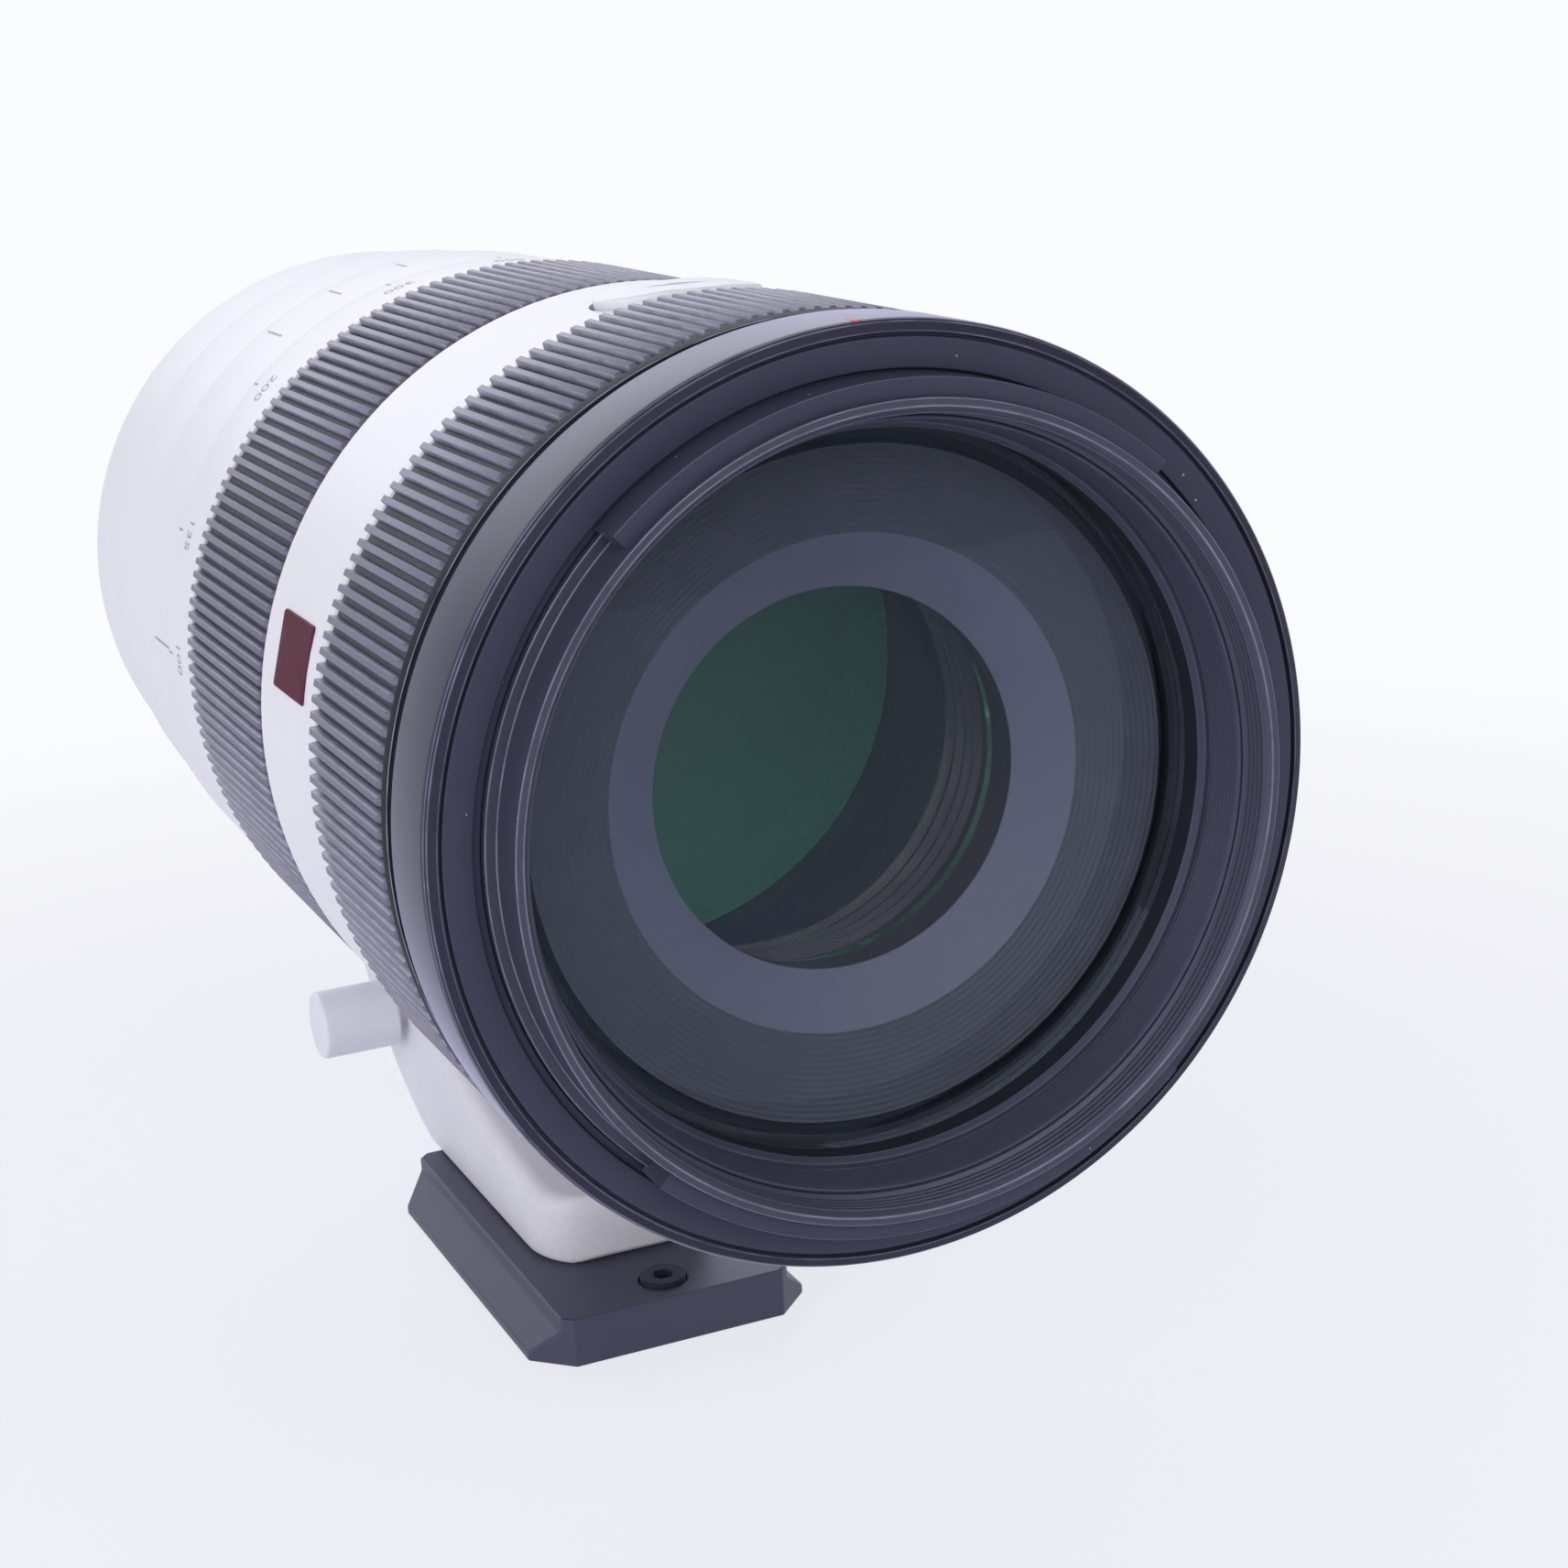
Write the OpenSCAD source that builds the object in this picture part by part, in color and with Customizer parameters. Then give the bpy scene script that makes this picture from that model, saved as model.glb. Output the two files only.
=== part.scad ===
// Extending telephoto zoom lens on its tripod foot, with a dovetail plate under the foot.
// The part stands on the plate, its front looks along -Y and its mount is at the rear.
// Round pieces are drawn about +Z, from the mount flange forward, and lens_frame() lays them down.

/* [Stand] */
// Height of the optical axis above the plate's underside
axis_h = 85.4; // [78:0.1:100]
// Distance of the mount flange behind the middle of the plate
flange_back = 102.2; // [98:0.1:110]
// Length of the dovetail plate
plate_len = 60; // [50:0.5:80]
// Half width of the dovetail at its foot
plate_half_w = 18.6; // [17:0.1:22]
// Thickness of the dovetail plate
plate_t = 6.35; // [5.5:0.05:9]
// Cut of the plate's upright corners
plate_corner = 4.7; // [1:0.1:8]
// Half width of the tripod foot and its neck
foot_half_w = 12; // [10:0.5:14]
// Foot's front end, ahead of the middle of the plate
foot_front = 15.9; // [8:0.1:20]
// Foot's rear end, behind the middle of the plate
foot_rear = 34; // [24:0.5:40]
// Height of the foot's front face
foot_h = 9; // [7:0.5:12]
// Radius of the foot's front corners
foot_corner = 6; // [2:0.5:9]
// Radius of the collar's lock knob
knob_r = 4.8; // [3.5:0.1:6.5]
// Length of the lock knob
knob_len = 11; // [8:0.5:16]

/* [Outer rings, from the mount forward] */
// Rear barrel, from the mount flange to the tension ring
rear_len = 72.3; // [68:0.1:80]
// Tripod collar's rear edge ahead of the mount flange
collar_back = 30; // [29:0.5:33]
// Length of the tripod collar
collar_len = 22; // [16:0.5:24]
// Length of the tension ring
tension_len = 16.6; // [10:0.1:24]
// White rear end of the zoom ring
tail_len = 12.8; // [9:0.1:20]
// Rubber grip of the zoom ring
zoom_len = 35; // [28:0.5:45]
// White band with the buttons
band_len = 22.4; // [20:0.1:30]
// Focus ring
focus_len = 28.8; // [20:0.1:40]
// Black front ring
front_len = 10.3; // [8:0.1:13]
// How far the filter ring stands out of the front ring
lip_len = 5.45; // [4:0.05:7]

/* [Optics] */
// Radius of the front element
glass_r = 36.3; // [35:0.1:37]
// Bulge of the front element
glass_sag = 3.2; // [2:0.1:5]
// Radius of the opening in the baffle behind the front element
baffle_hole_r = 18.9; // [16:0.1:22]
// Outer radius of the smooth cone around that opening
baffle_face_r = 24.8; // [22:0.1:30]
// Radius of the variator element
variator_glass_r = 21.9; // [18:0.1:24]
// Radius of the focus element
focus_glass_r = 18.9; // [16:0.1:22]
// Radius of the stabiliser element
steady_glass_r = 16.9; // [14:0.1:18]
// Radius of the rear element
rear_glass_r = 18.1; // [15:0.1:20]
// Open radius of the iris
iris_r = 15; // [12:0.5:15]
// Number of iris blades
iris_blades = 9; // [5:1:9]

/* [Walls and fits] */
// Wall of the extension tube
tube_wall = 1.3; // [1:0.1:2]
// Wall of the guide tube
guide_wall = 1.5; // [1:0.1:2]
// Wall of the cam tube
cam_wall = 1.25; // [1:0.05:2]
// Wall of the zoom ring's sleeve
sleeve_wall = 2.3; // [2:0.1:3]
// Wall of the white band
band_wall = 2.1; // [1.8:0.1:3]
// Wall of the rear barrel
rear_wall = 2.1; // [1.8:0.1:3]
// Rubber of a grip, ribs included
grip_t = 1.6; // [1.2:0.1:2.5]
// Height of a grip's ribs
rib_h = 0.65; // [0.3:0.05:1]
// Number of ribs on each grip
rib_count = 176; // [60:1:200]
// Width of the front ring's face
annulus_w = 4.4; // [3.5:0.1:7]
// Room between pieces that move on each other
slide_gap = 0.35; // [0.3:0.01:0.5]
// Room between neighbouring rings, along the axis
ring_gap = 0.35; // [0.3:0.01:0.6]
// Room between pieces that are fixed to each other
fit_gap = 0.05; // [0.02:0.01:0.1]

/* [Zoom] */
// Travel of the front barrel
zoom_travel = 71; // [60:0.5:76]
// Turn of the zoom ring
zoom_angle = 90; // [60:1:100]
// Radius of the cam followers
follower_r = 3; // [2:0.1:3.5]
// Travel of the variator group
variator_travel = 14; // [5:0.5:18]

/* [Controls] */
// Length of a focus hold button along the lens
button_len = 11; // [8:0.5:12]
// Width of a focus hold button around the lens
button_w = 18.8; // [14:0.2:22]
// How far a button stands out of the band
button_out = 1; // [0.7:0.1:1.6]
// Travel of a slide switch
switch_travel = 2.5; // [1.5:0.1:3]

/* [Mount] */
// Radius of the mount flange
flange_r = 31.6; // [30:0.1:32]
// Thickness of the mount flange
flange_t = 3; // [2:0.1:4]
// Radius of the light throat
throat_r = 19.8; // [18:0.1:20.2]
// Radius of the bayonet spigot
spigot_r = 21.6; // [21:0.1:22.2]
// Length of the bayonet spigot
spigot_len = 5; // [4.5:0.1:6]
// Radius over the bayonet lugs
lug_r = 22.95; // [22.6:0.05:23.2]
// Radius of the filter thread
thread_r = 38.5; // [38.4:0.05:38.6]

/* [Hidden] */
$fn = 96;
white = [0.88, 0.87, 0.9];
foot_white = [0.82, 0.81, 0.79];
black = [0.09, 0.09, 0.1];
rubber = [0.16, 0.16, 0.18];
steel = [0.75, 0.75, 0.77];
gold = [0.83, 0.66, 0.3];
glass = [0.35, 0.5, 0.47];
board_green = [0.1, 0.35, 0.2];

// Stations along the axis, ahead of the mount flange
tension_z0 = rear_len + ring_gap;
tension_z1 = tension_z0 + tension_len;
tail_z0 = tension_z1 + ring_gap;
zoom_z0 = tail_z0 + tail_len;
zoom_z1 = zoom_z0 + zoom_len;
band_z0 = zoom_z1 + ring_gap;
band_z1 = band_z0 + band_len;
focus_z0 = band_z1 + ring_gap;
focus_z1 = focus_z0 + focus_len;
front_z0 = focus_z1 + ring_gap;
face_z = front_z0 + front_len;
lip_z = face_z + lip_len;
collar_z0 = collar_back;
collar_z1 = collar_back + collar_len;

// Nested tubes, from the front element outward
ext_ri = glass_r + 0.1;
ext_ro = ext_ri + tube_wall;
guide_ri = ext_ro + slide_gap;
guide_ro = guide_ri + guide_wall;
cam_ri = guide_ro + slide_gap;
cam_ro = cam_ri + cam_wall;
shell_ri = cam_ro + slide_gap;
sleeve_ro = shell_ri + sleeve_wall;
zoom_r = sleeve_ro + fit_gap + grip_t;
tail_r = sleeve_ro + grip_t - 0.4;
seat_ro = shell_ri + 1.1;
tension_ri = seat_ro + slide_gap;
tension_ro = tension_ri + 1.75;
rear_r = shell_ri + rear_wall;
band_ri = shell_ri + 1.9;
band_r = band_ri + band_wall;
carrier_ri = shell_ri + 0.4;
carrier_ro = carrier_ri + 1.3;
focus_ri = carrier_ro + slide_gap;
focus_sleeve_ro = focus_ri + 1.15;
focus_r = focus_sleeve_ro + fit_gap + grip_t;
relay_ro = ext_ri - 1.2;
relay_ri = relay_ro - 1.3;
cavity_r = relay_ro + 1;
collar_seat_r = cavity_r + 1.4;
collar_ri = collar_seat_r + slide_gap;
collar_ro = collar_ri + 4.05;

// Front group
filter_fit_r = ext_ro + fit_gap;
filter_ro = thread_r + 1.3;
retainer_r = thread_r - 0.7;
shoulder_r = filter_ro + 1.15;
front_bore = shoulder_r + 1.1;
front_r = front_bore + annulus_w;
front_plate_t = 2.5;
skirt_t = 1.75;
bevel_w = 1.25;
groove_w = 0.4;
tab_r = filter_ro + 1.5;
tab_half = 42.3;
tab_t = 1.65;
thread_len = 3.55;
thread_z = lip_z - thread_len;
glass_depth = 6.25;
rest_z = face_z - glass_depth;
glass_edge = 3;
baffle_z = rest_z - glass_edge - 0.2;
baffle_depth = 2.1;
baffle_drop = 3.2;
baffle_wall = 1.4;
baffle_groove = 1.3;
baffle_seat = 7;
skirt_len = 16;
skirt_ri = baffle_hole_r + 0.8;
filter_tail = 17.4;
skirt_end = baffle_z - skirt_len;
seat_len = 5;

// Zoom mechanism
band_flange_t = 4;
cam_end = 7;
cam_z1 = band_z1 - band_flange_t - 0.5;
follower_z = cam_z1 - cam_end - zoom_travel;
cam_z0 = follower_z - cam_end;
ledge_z = cam_z0 - 6;
guide_flange_t = 3;
slot_half = follower_r + 0.3;
follower_angles = [30, 150, 270];
key_half = 4;

// Rear end of the barrel, around the mount
screw_ring_r = flange_r - 4.3;
tail_bore = screw_ring_r - 1.3;
tail_wall_z = flange_t + 3.5;
tail_end_r = flange_r + 1.9;
relay_z0 = 26.75;
function tail_ri(z) = let (r0 = tail_end_r - 0.6, r1 = cavity_r - 1.7)
    r0 + (r1 - r0) * (z - tail_wall_z) / (relay_z0 - tail_wall_z);

// Inner groups, on the relay tube
relay_z1 = 150;
group_r = relay_ri - 0.3;
cell_edge = 1.6;
glass_fit = 0.1;
variator_len = 12;
variator_z = relay_z1 - variator_len - 2;
focus_cell_len = 10;
focus_cell_z = 104;
rear_cell_len = 16.4;
rear_cell_z = relay_z0 + 0.6;
board_z = relay_z0 - 6.75;
board_r = tail_ri(board_z) - slide_gap;
board_w = 11.6;
board_t = 1.4;
iris_z = 84;
iris_plate_t = 2;
pivot_r = iris_r + 8.2;
pivot_pin_r = 0.6;
blade_t = 0.2;
blade_w = 6.8;
blade_pitch = 0.4;
blade_turn = 25;
drive_arm = 3;
drive_pin_r = 0.4;
iris_ring_z = iris_z + iris_plate_t + 0.3 + iris_blades * blade_pitch + 0.1;
iris_ring_t = 1.3;
steady_z = 60;
steady_frame_t = 3;
steady_frame_ri = steady_glass_r + 5.1;
steady_cell_t = 4.5;
steady_cell_ro = steady_glass_r + 9.1;

// Controls
button_z = band_z1 - button_len / 2 - 1.55;
panel_half = 38;
panel_t = 0.8;
panel_z0 = collar_z1 + 2.3;
panel_z1 = rear_len - 2;
panel_ro = rear_r + fit_gap + panel_t;
switch_step = 18;
switch_z = (panel_z0 + panel_z1) / 2 - switch_travel / 2;
switch_r = panel_ro + 1.55;

// Stand
neck_y0 = flange_back - collar_z1;
neck_y1 = flange_back - collar_z0;
neck_under = axis_h - switch_r - 0.9;
knob_y = (foot_rear + neck_y0) / 2 + 1.5;
knob_z = (plate_t + neck_under) / 2 + 0.6;
stud_r = 2.5;
stud_len = 9;
knob_gap = 1.2;
screw_r = 3.1;
screw_head_r = 5.5;
stop_inset = 5.4;
stop_y = stop_inset - plate_len / 2;

// Frames and basic solids

// Lays a piece drawn about +Z, from the flange forward, along the optical axis
module lens_frame() translate([0, flange_back, axis_h]) rotate([90, 0, 0]) children();

// Puts a piece on the barrel: its +Z points outward, its +X to the rear, its +Y around the barrel
module radial(angle, z) rotate([0, 0, angle]) translate([0, 0, z]) rotate([0, 90, 0]) children();

module ring(r_in, r_out, z0, z1) rotate_extrude() translate([r_in, z0]) square([r_out - r_in, z1 - z0]);

module sector(r_in, r_out, z0, z1, a0, a1)
    rotate([0, 0, a0])
        rotate_extrude(angle = a1 - a0) translate([r_in, z0]) square([r_out - r_in, z1 - z0]);

module lathe(points) rotate_extrude() polygon(points);

module rod(r, z0, z1) translate([0, 0, z0]) cylinder(r = r, h = z1 - z0);

module block(size_x, size_y, z0, z1)
    translate([-size_x / 2, -size_y / 2, z0]) cube([size_x, size_y, z1 - z0]);

// Oblong with round ends, long along Y
module oblong(length_x, length_y) {
    square([length_x, length_y - length_x], center = true);
    for (side = [-1, 1]) translate([0, side * (length_y - length_x) / 2]) circle(d = length_x);
}

function sphere_r(r, sag) = (r * r + sag * sag) / (2 * sag);

// Half outline of a ball of the given cap, whose rim is at the radius r and whose top is at z
module cap_circle(r, sag, z, side) translate([0, z - side * sphere_r(r, sag)])
    circle(r = sphere_r(r, sag), $fn = 720);

// Glass bulging at both ends: rim from z0 to z1, with the sags beyond it
module convex_glass(r, z0, z1, sag0, sag1)
    rotate_extrude() intersection() {
        translate([0, z0 - sag0]) square([r, z1 + sag1 - z0 + sag0]);
        cap_circle(r, sag0, z0 - sag0, -1);
        cap_circle(r, sag1, z1 + sag1, 1);
    }

// Glass flat behind and bulging in front: rim from z0 to z1, with the sag beyond it
module flat_back_glass(r, z0, z1, sag)
    rotate_extrude() intersection() {
        translate([0, z0]) square([r, z1 + sag - z0]);
        cap_circle(r, sag, z1 + sag, 1);
    }

// Glass hollow at both ends: rim from z0 to z1, with the sags inside it
module concave_glass(r, z0, z1, sag0, sag1)
    rotate_extrude() difference() {
        translate([0, z0]) square([r, z1 - z0]);
        cap_circle(r, sag0, z0 + sag0, 1);
        cap_circle(r, sag1, z1 - sag1, -1);
    }

// Points of a curve from a to c that leaves and arrives in the direction of b
function bend(a, b, c, steps) =
    [for (i = [0:steps]) let (t = i / steps) (1 - t) * (1 - t) * a + 2 * t * (1 - t) * b + t * t * c];

// Stand: collar, foot, plate

module collar_ring() {
    edge = 0.8;
    color(white) lens_frame() lathe([
        [collar_ri, collar_z0], [collar_ro - edge, collar_z0], [collar_ro, collar_z0 + edge],
        [collar_ro, collar_z1 - edge], [collar_ro - edge, collar_z1], [collar_ri, collar_z1]]);
}

module foot_side() {
    neck_top = axis_h - collar_ri;
    front_top = [-foot_front, plate_t + foot_h];
    neck_front = [neck_y0 + ring_gap, neck_under];
    rear_low = [foot_rear, plate_t];
    neck_rear = [neck_y1, axis_h - collar_ro];
    polygon(concat(
        [[-foot_front, plate_t]],
        bend(front_top, [neck_y0 - 16, plate_t + foot_h + 4], neck_front, 12),
        [[neck_y0 + ring_gap, neck_top], [neck_y1, neck_top]],
        bend(neck_rear, [neck_y1 - 10, plate_t + 8], rear_low, 12)));
}

module foot_plan() {
    long = neck_y1 + foot_front;
    half = foot_half_w - foot_corner;
    translate([-foot_half_w, foot_corner - foot_front]) square([2 * foot_half_w, long - foot_corner]);
    translate([-half, -foot_front]) square([2 * half, foot_corner]);
    for (side = [-1, 1]) translate([side * half, foot_corner - foot_front]) circle(r = foot_corner);
}

module tripod_foot() {
    color(foot_white) difference() {
        intersection() {
            translate([-foot_half_w, 0, 0]) rotate([90, 0, 90])
                linear_extrude(2 * foot_half_w) foot_side();
            linear_extrude(axis_h) foot_plan();
        }
        lens_frame() rod(collar_ro + fit_gap, collar_z0 - 2, collar_z1 + 2);
        rod(screw_r + 0.1, 0, plate_t + foot_h - 1.5);
        translate([-foot_half_w, knob_y, knob_z]) rotate([0, 90, 0])
            rod(stud_r + fit_gap, -1, stud_len - knob_gap + 0.5);
    }
}

module quick_plate() {
    half_len = plate_len / 2;
    lean = 3.4;
    heel = 1.2;
    cut = plate_half_w - plate_corner;
    top_half = plate_half_w - lean;
    color(black) difference() {
        intersection() {
            translate([0, half_len, 0]) rotate([90, 0, 0]) linear_extrude(plate_len) polygon([
                [-plate_half_w, 0], [plate_half_w, 0], [plate_half_w, heel], [top_half, heel + lean],
                [top_half, plate_t], [-top_half, plate_t], [-top_half, heel + lean], [-plate_half_w, heel]]);
            linear_extrude(plate_t) polygon([
                [-cut, -half_len], [cut, -half_len], [plate_half_w, plate_corner - half_len],
                [plate_half_w, half_len - plate_corner], [cut, half_len], [-cut, half_len],
                [-plate_half_w, half_len - plate_corner], [-plate_half_w, plate_corner - half_len]]);
        }
        rod(screw_r + 0.2, -1, plate_t + 1);
        rod(screw_head_r + 0.3, -1, 3.3);
        translate([0, stop_y, 0]) {
            rod(1.6, plate_t - 5, plate_t + 1);
            rod(3, plate_t - 2.4, plate_t + 1);
        }
    }
}

module plate_screw() {
    color(steel) difference() {
        union() {
            rod(screw_head_r, 0.6, 3.25);
            rod(screw_r, 0.6, plate_t + foot_h - 2);
        }
        block(12, 1.4, 0, 1.8);
    }
}

module stop_screw() {
    color(steel) translate([0, stop_y, 0]) difference() {
        union() {
            rod(1.55, plate_t - 4.9, plate_t);
            rod(2.8, plate_t - 2.35, plate_t + 0.6);
        }
        translate([0, 0, plate_t - 0.9]) cylinder(r = 1.45, h = 2, $fn = 6);
    }
}

module lock_knob() {
    edge = 0.9;
    outer = knob_len;
    color(foot_white) translate([-foot_half_w - knob_gap, knob_y, knob_z]) rotate([0, -90, 0]) lathe([
        [0, -stud_len], [stud_r, -stud_len], [stud_r, 0], [knob_r - 0.4, 0], [knob_r, 0.4],
        [knob_r, outer - edge], [knob_r - 0.3, outer - 0.3], [knob_r - edge, outer], [0, outer]]);
}

// Barrel shells

module rear_barrel() {
    collar_front = collar_z1 + ring_gap;
    collar_rear = collar_z0 - ring_gap;
    rim_r = collar_seat_r + 1;
    color(white) lens_frame() difference() {
        lathe([
            [tail_bore, flange_t], [tail_end_r, flange_t], [tail_end_r + 2, flange_t + 5],
            [rim_r, collar_rear - 3.4], [rim_r, collar_rear], [collar_seat_r, collar_rear],
            [collar_seat_r, collar_front], [rear_r - 0.6, collar_front], [rear_r, collar_front + 0.6],
            [rear_r, rear_len], [seat_ro, rear_len], [seat_ro, tension_z1 - 0.3],
            [shell_ri, tension_z1 - 0.3], [shell_ri, ledge_z], [cavity_r, ledge_z], [cavity_r, relay_z0],
            [tail_ri(relay_z0), relay_z0], [tail_ri(tail_wall_z), tail_wall_z], [tail_bore, tail_wall_z]]);
        for (i = [-1.5:1.5]) radial(i * switch_step, switch_z + switch_travel / 2)
            block(2.4 + switch_travel + 0.6, 3.6, rear_r - 0.9, rear_r + 1);
        for (a = [45:90:315]) rotate([0, 0, a]) translate([screw_ring_r, 0, 0])
            rod(1.05, flange_t - 1, tail_wall_z + 1);
    }
}

module mid_barrel() {
    flange_z = band_z1 - band_flange_t;
    color(white) lens_frame() difference() {
        lathe([
            [band_r - 0.3, band_z0], [band_r, band_z0 + 0.3], [band_r, band_z1 - 0.3],
            [band_r - 0.3, band_z1], [carrier_ro, band_z1], [carrier_ro, focus_z1 - 1],
            [carrier_ri, focus_z1 - 1],
            [carrier_ri, band_z1], [guide_ro + fit_gap, band_z1], [guide_ro + fit_gap, flange_z],
            [band_ri, flange_z], [band_ri, band_z0]]);
        for (a = [90, 0, -90]) radial(a, button_z) translate([0, 0, band_ri - 1.1])
            linear_extrude(6) oblong(button_len + 0.6, button_w + 0.6);
    }
}

module guide_tube() {
    slot_z0 = follower_z - slot_half - 0.5;
    slot_z1 = follower_z + zoom_travel + slot_half + 0.5;
    color(black) lens_frame() difference() {
        lathe([
            [guide_ri, ledge_z + fit_gap], [shell_ri - 0.1, ledge_z + fit_gap],
            [shell_ri - 0.1, ledge_z + guide_flange_t], [guide_ro, ledge_z + guide_flange_t],
            [guide_ro, face_z - 18], [guide_ri, face_z - 18]]);
        for (a = follower_angles) rotate([0, 0, a]) translate([guide_ri - 2, -slot_half, slot_z0])
            cube([guide_wall + 4, 2 * slot_half, slot_z1 - slot_z0]);
    }
}

module relay_tube() {
    color(black) lens_frame() lathe([
        [relay_ri, relay_z0], [cavity_r - 0.1, relay_z0], [cavity_r - 0.1, relay_z0 + 3],
        [relay_ro, relay_z0 + 3], [relay_ro, relay_z1], [relay_ri, relay_z1],
        [relay_ri, steady_z + 1.5], [relay_ri - 5, steady_z + 1.5], [relay_ri - 5, steady_z],
        [relay_ri, steady_z]]);
}

module switch_panel() {
    color(white) lens_frame() difference() {
        sector(rear_r + fit_gap, panel_ro, panel_z0, panel_z1, -panel_half, panel_half);
        for (i = [-1.5:1.5]) radial(i * switch_step, switch_z + switch_travel / 2)
            block(2.4 + switch_travel + 0.6, 3.6, rear_r - 1, panel_ro + 1);
    }
}

// Slide switch: a ridged thumb piece on a stem, at the rear end of its travel
module slide_switch(place) {
    color(black) lens_frame() radial(place * switch_step, switch_z) difference() {
        union() {
            block(2.4, 3, rear_r - 0.6, panel_ro + 0.4);
            block(4.4, 4.6, panel_ro + 0.3, switch_r);
        }
        for (x = [-1.2, 0, 1.2]) translate([x, 0, 0]) block(0.5, 6, switch_r - 0.35, switch_r + 1);
    }
}

// Focus hold button, with a face that follows the band
module hold_button(angle) {
    color(white) lens_frame() intersection() {
        radial(angle, button_z) translate([0, 0, band_ri - 0.3])
            linear_extrude(6) oblong(button_len, button_w);
        ring(band_ri - 3, band_r + button_out, button_z - button_len, button_z + button_len);
    }
}

// Mount

module mount_flange() {
    lug_z = -spigot_len + 0.4;
    color(steel) lens_frame() difference() {
        union() {
            ring(throat_r, flange_r, 0, flange_t);
            ring(throat_r, spigot_r, -spigot_len, 0);
            for (a = [30:120:270]) sector(spigot_r - 0.5, lug_r, lug_z, lug_z + 2.2, a - 29, a + 29);
        }
        for (a = [45:90:315]) rotate([0, 0, a]) translate([screw_ring_r, 0, 0]) {
            rod(1.05, -1, flange_t + 1);
            rod(2.1, -1, 1.45);
        }
    }
}

module mount_screws() {
    color(steel) lens_frame() for (a = [45:90:315]) rotate([0, 0, a]) translate([screw_ring_r, 0, 0])
        difference() {
            union() {
                rod(2, 0.2, 1.4);
                rod(1, 0.2, flange_t + 3.3);
            }
            block(0.5, 2.4, 0, 0.8);
            block(2.4, 0.5, 0, 0.8);
        }
}

module mount_seal() {
    color(rubber) lens_frame() ring(flange_r + 0.1, flange_r + 1.3, 0.2, flange_t - fit_gap);
}

module contact_block() {
    color(black) lens_frame() sector(throat_r - 3.8, throat_r - 0.1, -4.2, flange_t, 228, 312);
}

module contact_pins() {
    color(gold) lens_frame() for (i = [-4.5:4.5]) rotate([0, 0, 270 + i * 8])
        translate([throat_r - 1.95, 0, 0]) rod(0.8, -4.5, -4.2);
}

module rear_baffle() {
    color(black) lens_frame() difference() {
        rod(tail_bore - 0.2, flange_t + fit_gap, flange_t + 1.8);
        block(28, 20, 0, 10);
    }
}

module rear_cell() {
    lip_r = rear_glass_r - 1.1;
    bore_r = rear_glass_r + glass_fit;
    front = rear_cell_z + rear_cell_len;
    step = rear_cell_z + cell_edge + 0.4;
    color(black) lens_frame() lathe([
        [lip_r, rear_cell_z], [relay_ri - fit_gap, rear_cell_z], [relay_ri - fit_gap, front],
        [bore_r + 3.8, front], [bore_r, front - 6], [bore_r, step], [lip_r, step]]);
}

module rear_element() {
    rim_z = rear_cell_z + cell_edge + 0.5;
    color(glass) lens_frame() convex_glass(rear_glass_r, rim_z, rim_z + 2.8, 1.8, 2.4);
}

module circuit_board() {
    chip_r = board_r - board_w / 2;
    color(board_green) lens_frame() {
        difference() {
            ring(board_r - board_w, board_r, board_z, board_z + board_t);
            for (a = [0:90:270]) rotate([0, 0, a]) translate([board_r - board_t, 0, 0])
                block(8, 6, board_z - 1, board_z + board_t + 1);
        }
        for (a = [25:50:325]) rotate([0, 0, a]) translate([chip_r, 0, 0])
            block(5, 6, board_z + board_t - 0.4, board_z + board_t + 1.2);
    }
}

// Front barrel

module front_ring() {
    groove_ro = front_r - bevel_w;
    groove_ri = groove_ro - groove_w;
    color(black) lens_frame() lathe([
        [front_bore, face_z - front_plate_t], [front_bore, face_z], [groove_ri, face_z],
        [groove_ri, face_z - 0.7], [groove_ro, face_z - 0.7], [groove_ro, face_z + 0.1],
        [front_r, face_z - 0.3], [front_r, front_z0], [front_r - skirt_t, front_z0],
        [front_r - skirt_t, face_z - front_plate_t]]);
}

module filter_ring() {
    flange_z = face_z - front_plate_t - fit_gap;
    flange_ro = front_bore + 1.5;
    shoulder_z = face_z + 0.35;
    tail_z = face_z - filter_tail;
    color(black) lens_frame() {
        lathe([
            [retainer_r + fit_gap, rest_z], [retainer_r + fit_gap, thread_z], [thread_r, thread_z],
            [thread_r, lip_z - 0.5], [thread_r + 0.5, lip_z], [filter_ro - 0.3, lip_z],
            [filter_ro, lip_z - 0.3], [filter_ro, shoulder_z], [shoulder_r - 0.3, shoulder_z],
            [shoulder_r, shoulder_z - 0.3], [shoulder_r, flange_z], [flange_ro, flange_z],
            [flange_ro, flange_z - 2], [filter_ro, flange_z - 2], [filter_ro, tail_z],
            [filter_fit_r, tail_z], [filter_fit_r, rest_z]]);
        for (a = [90, 270])
            sector(filter_ro - 0.4, tab_r, lip_z - 0.25 - tab_t, lip_z - 0.25, a - tab_half, a + tab_half);
    }
}

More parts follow.
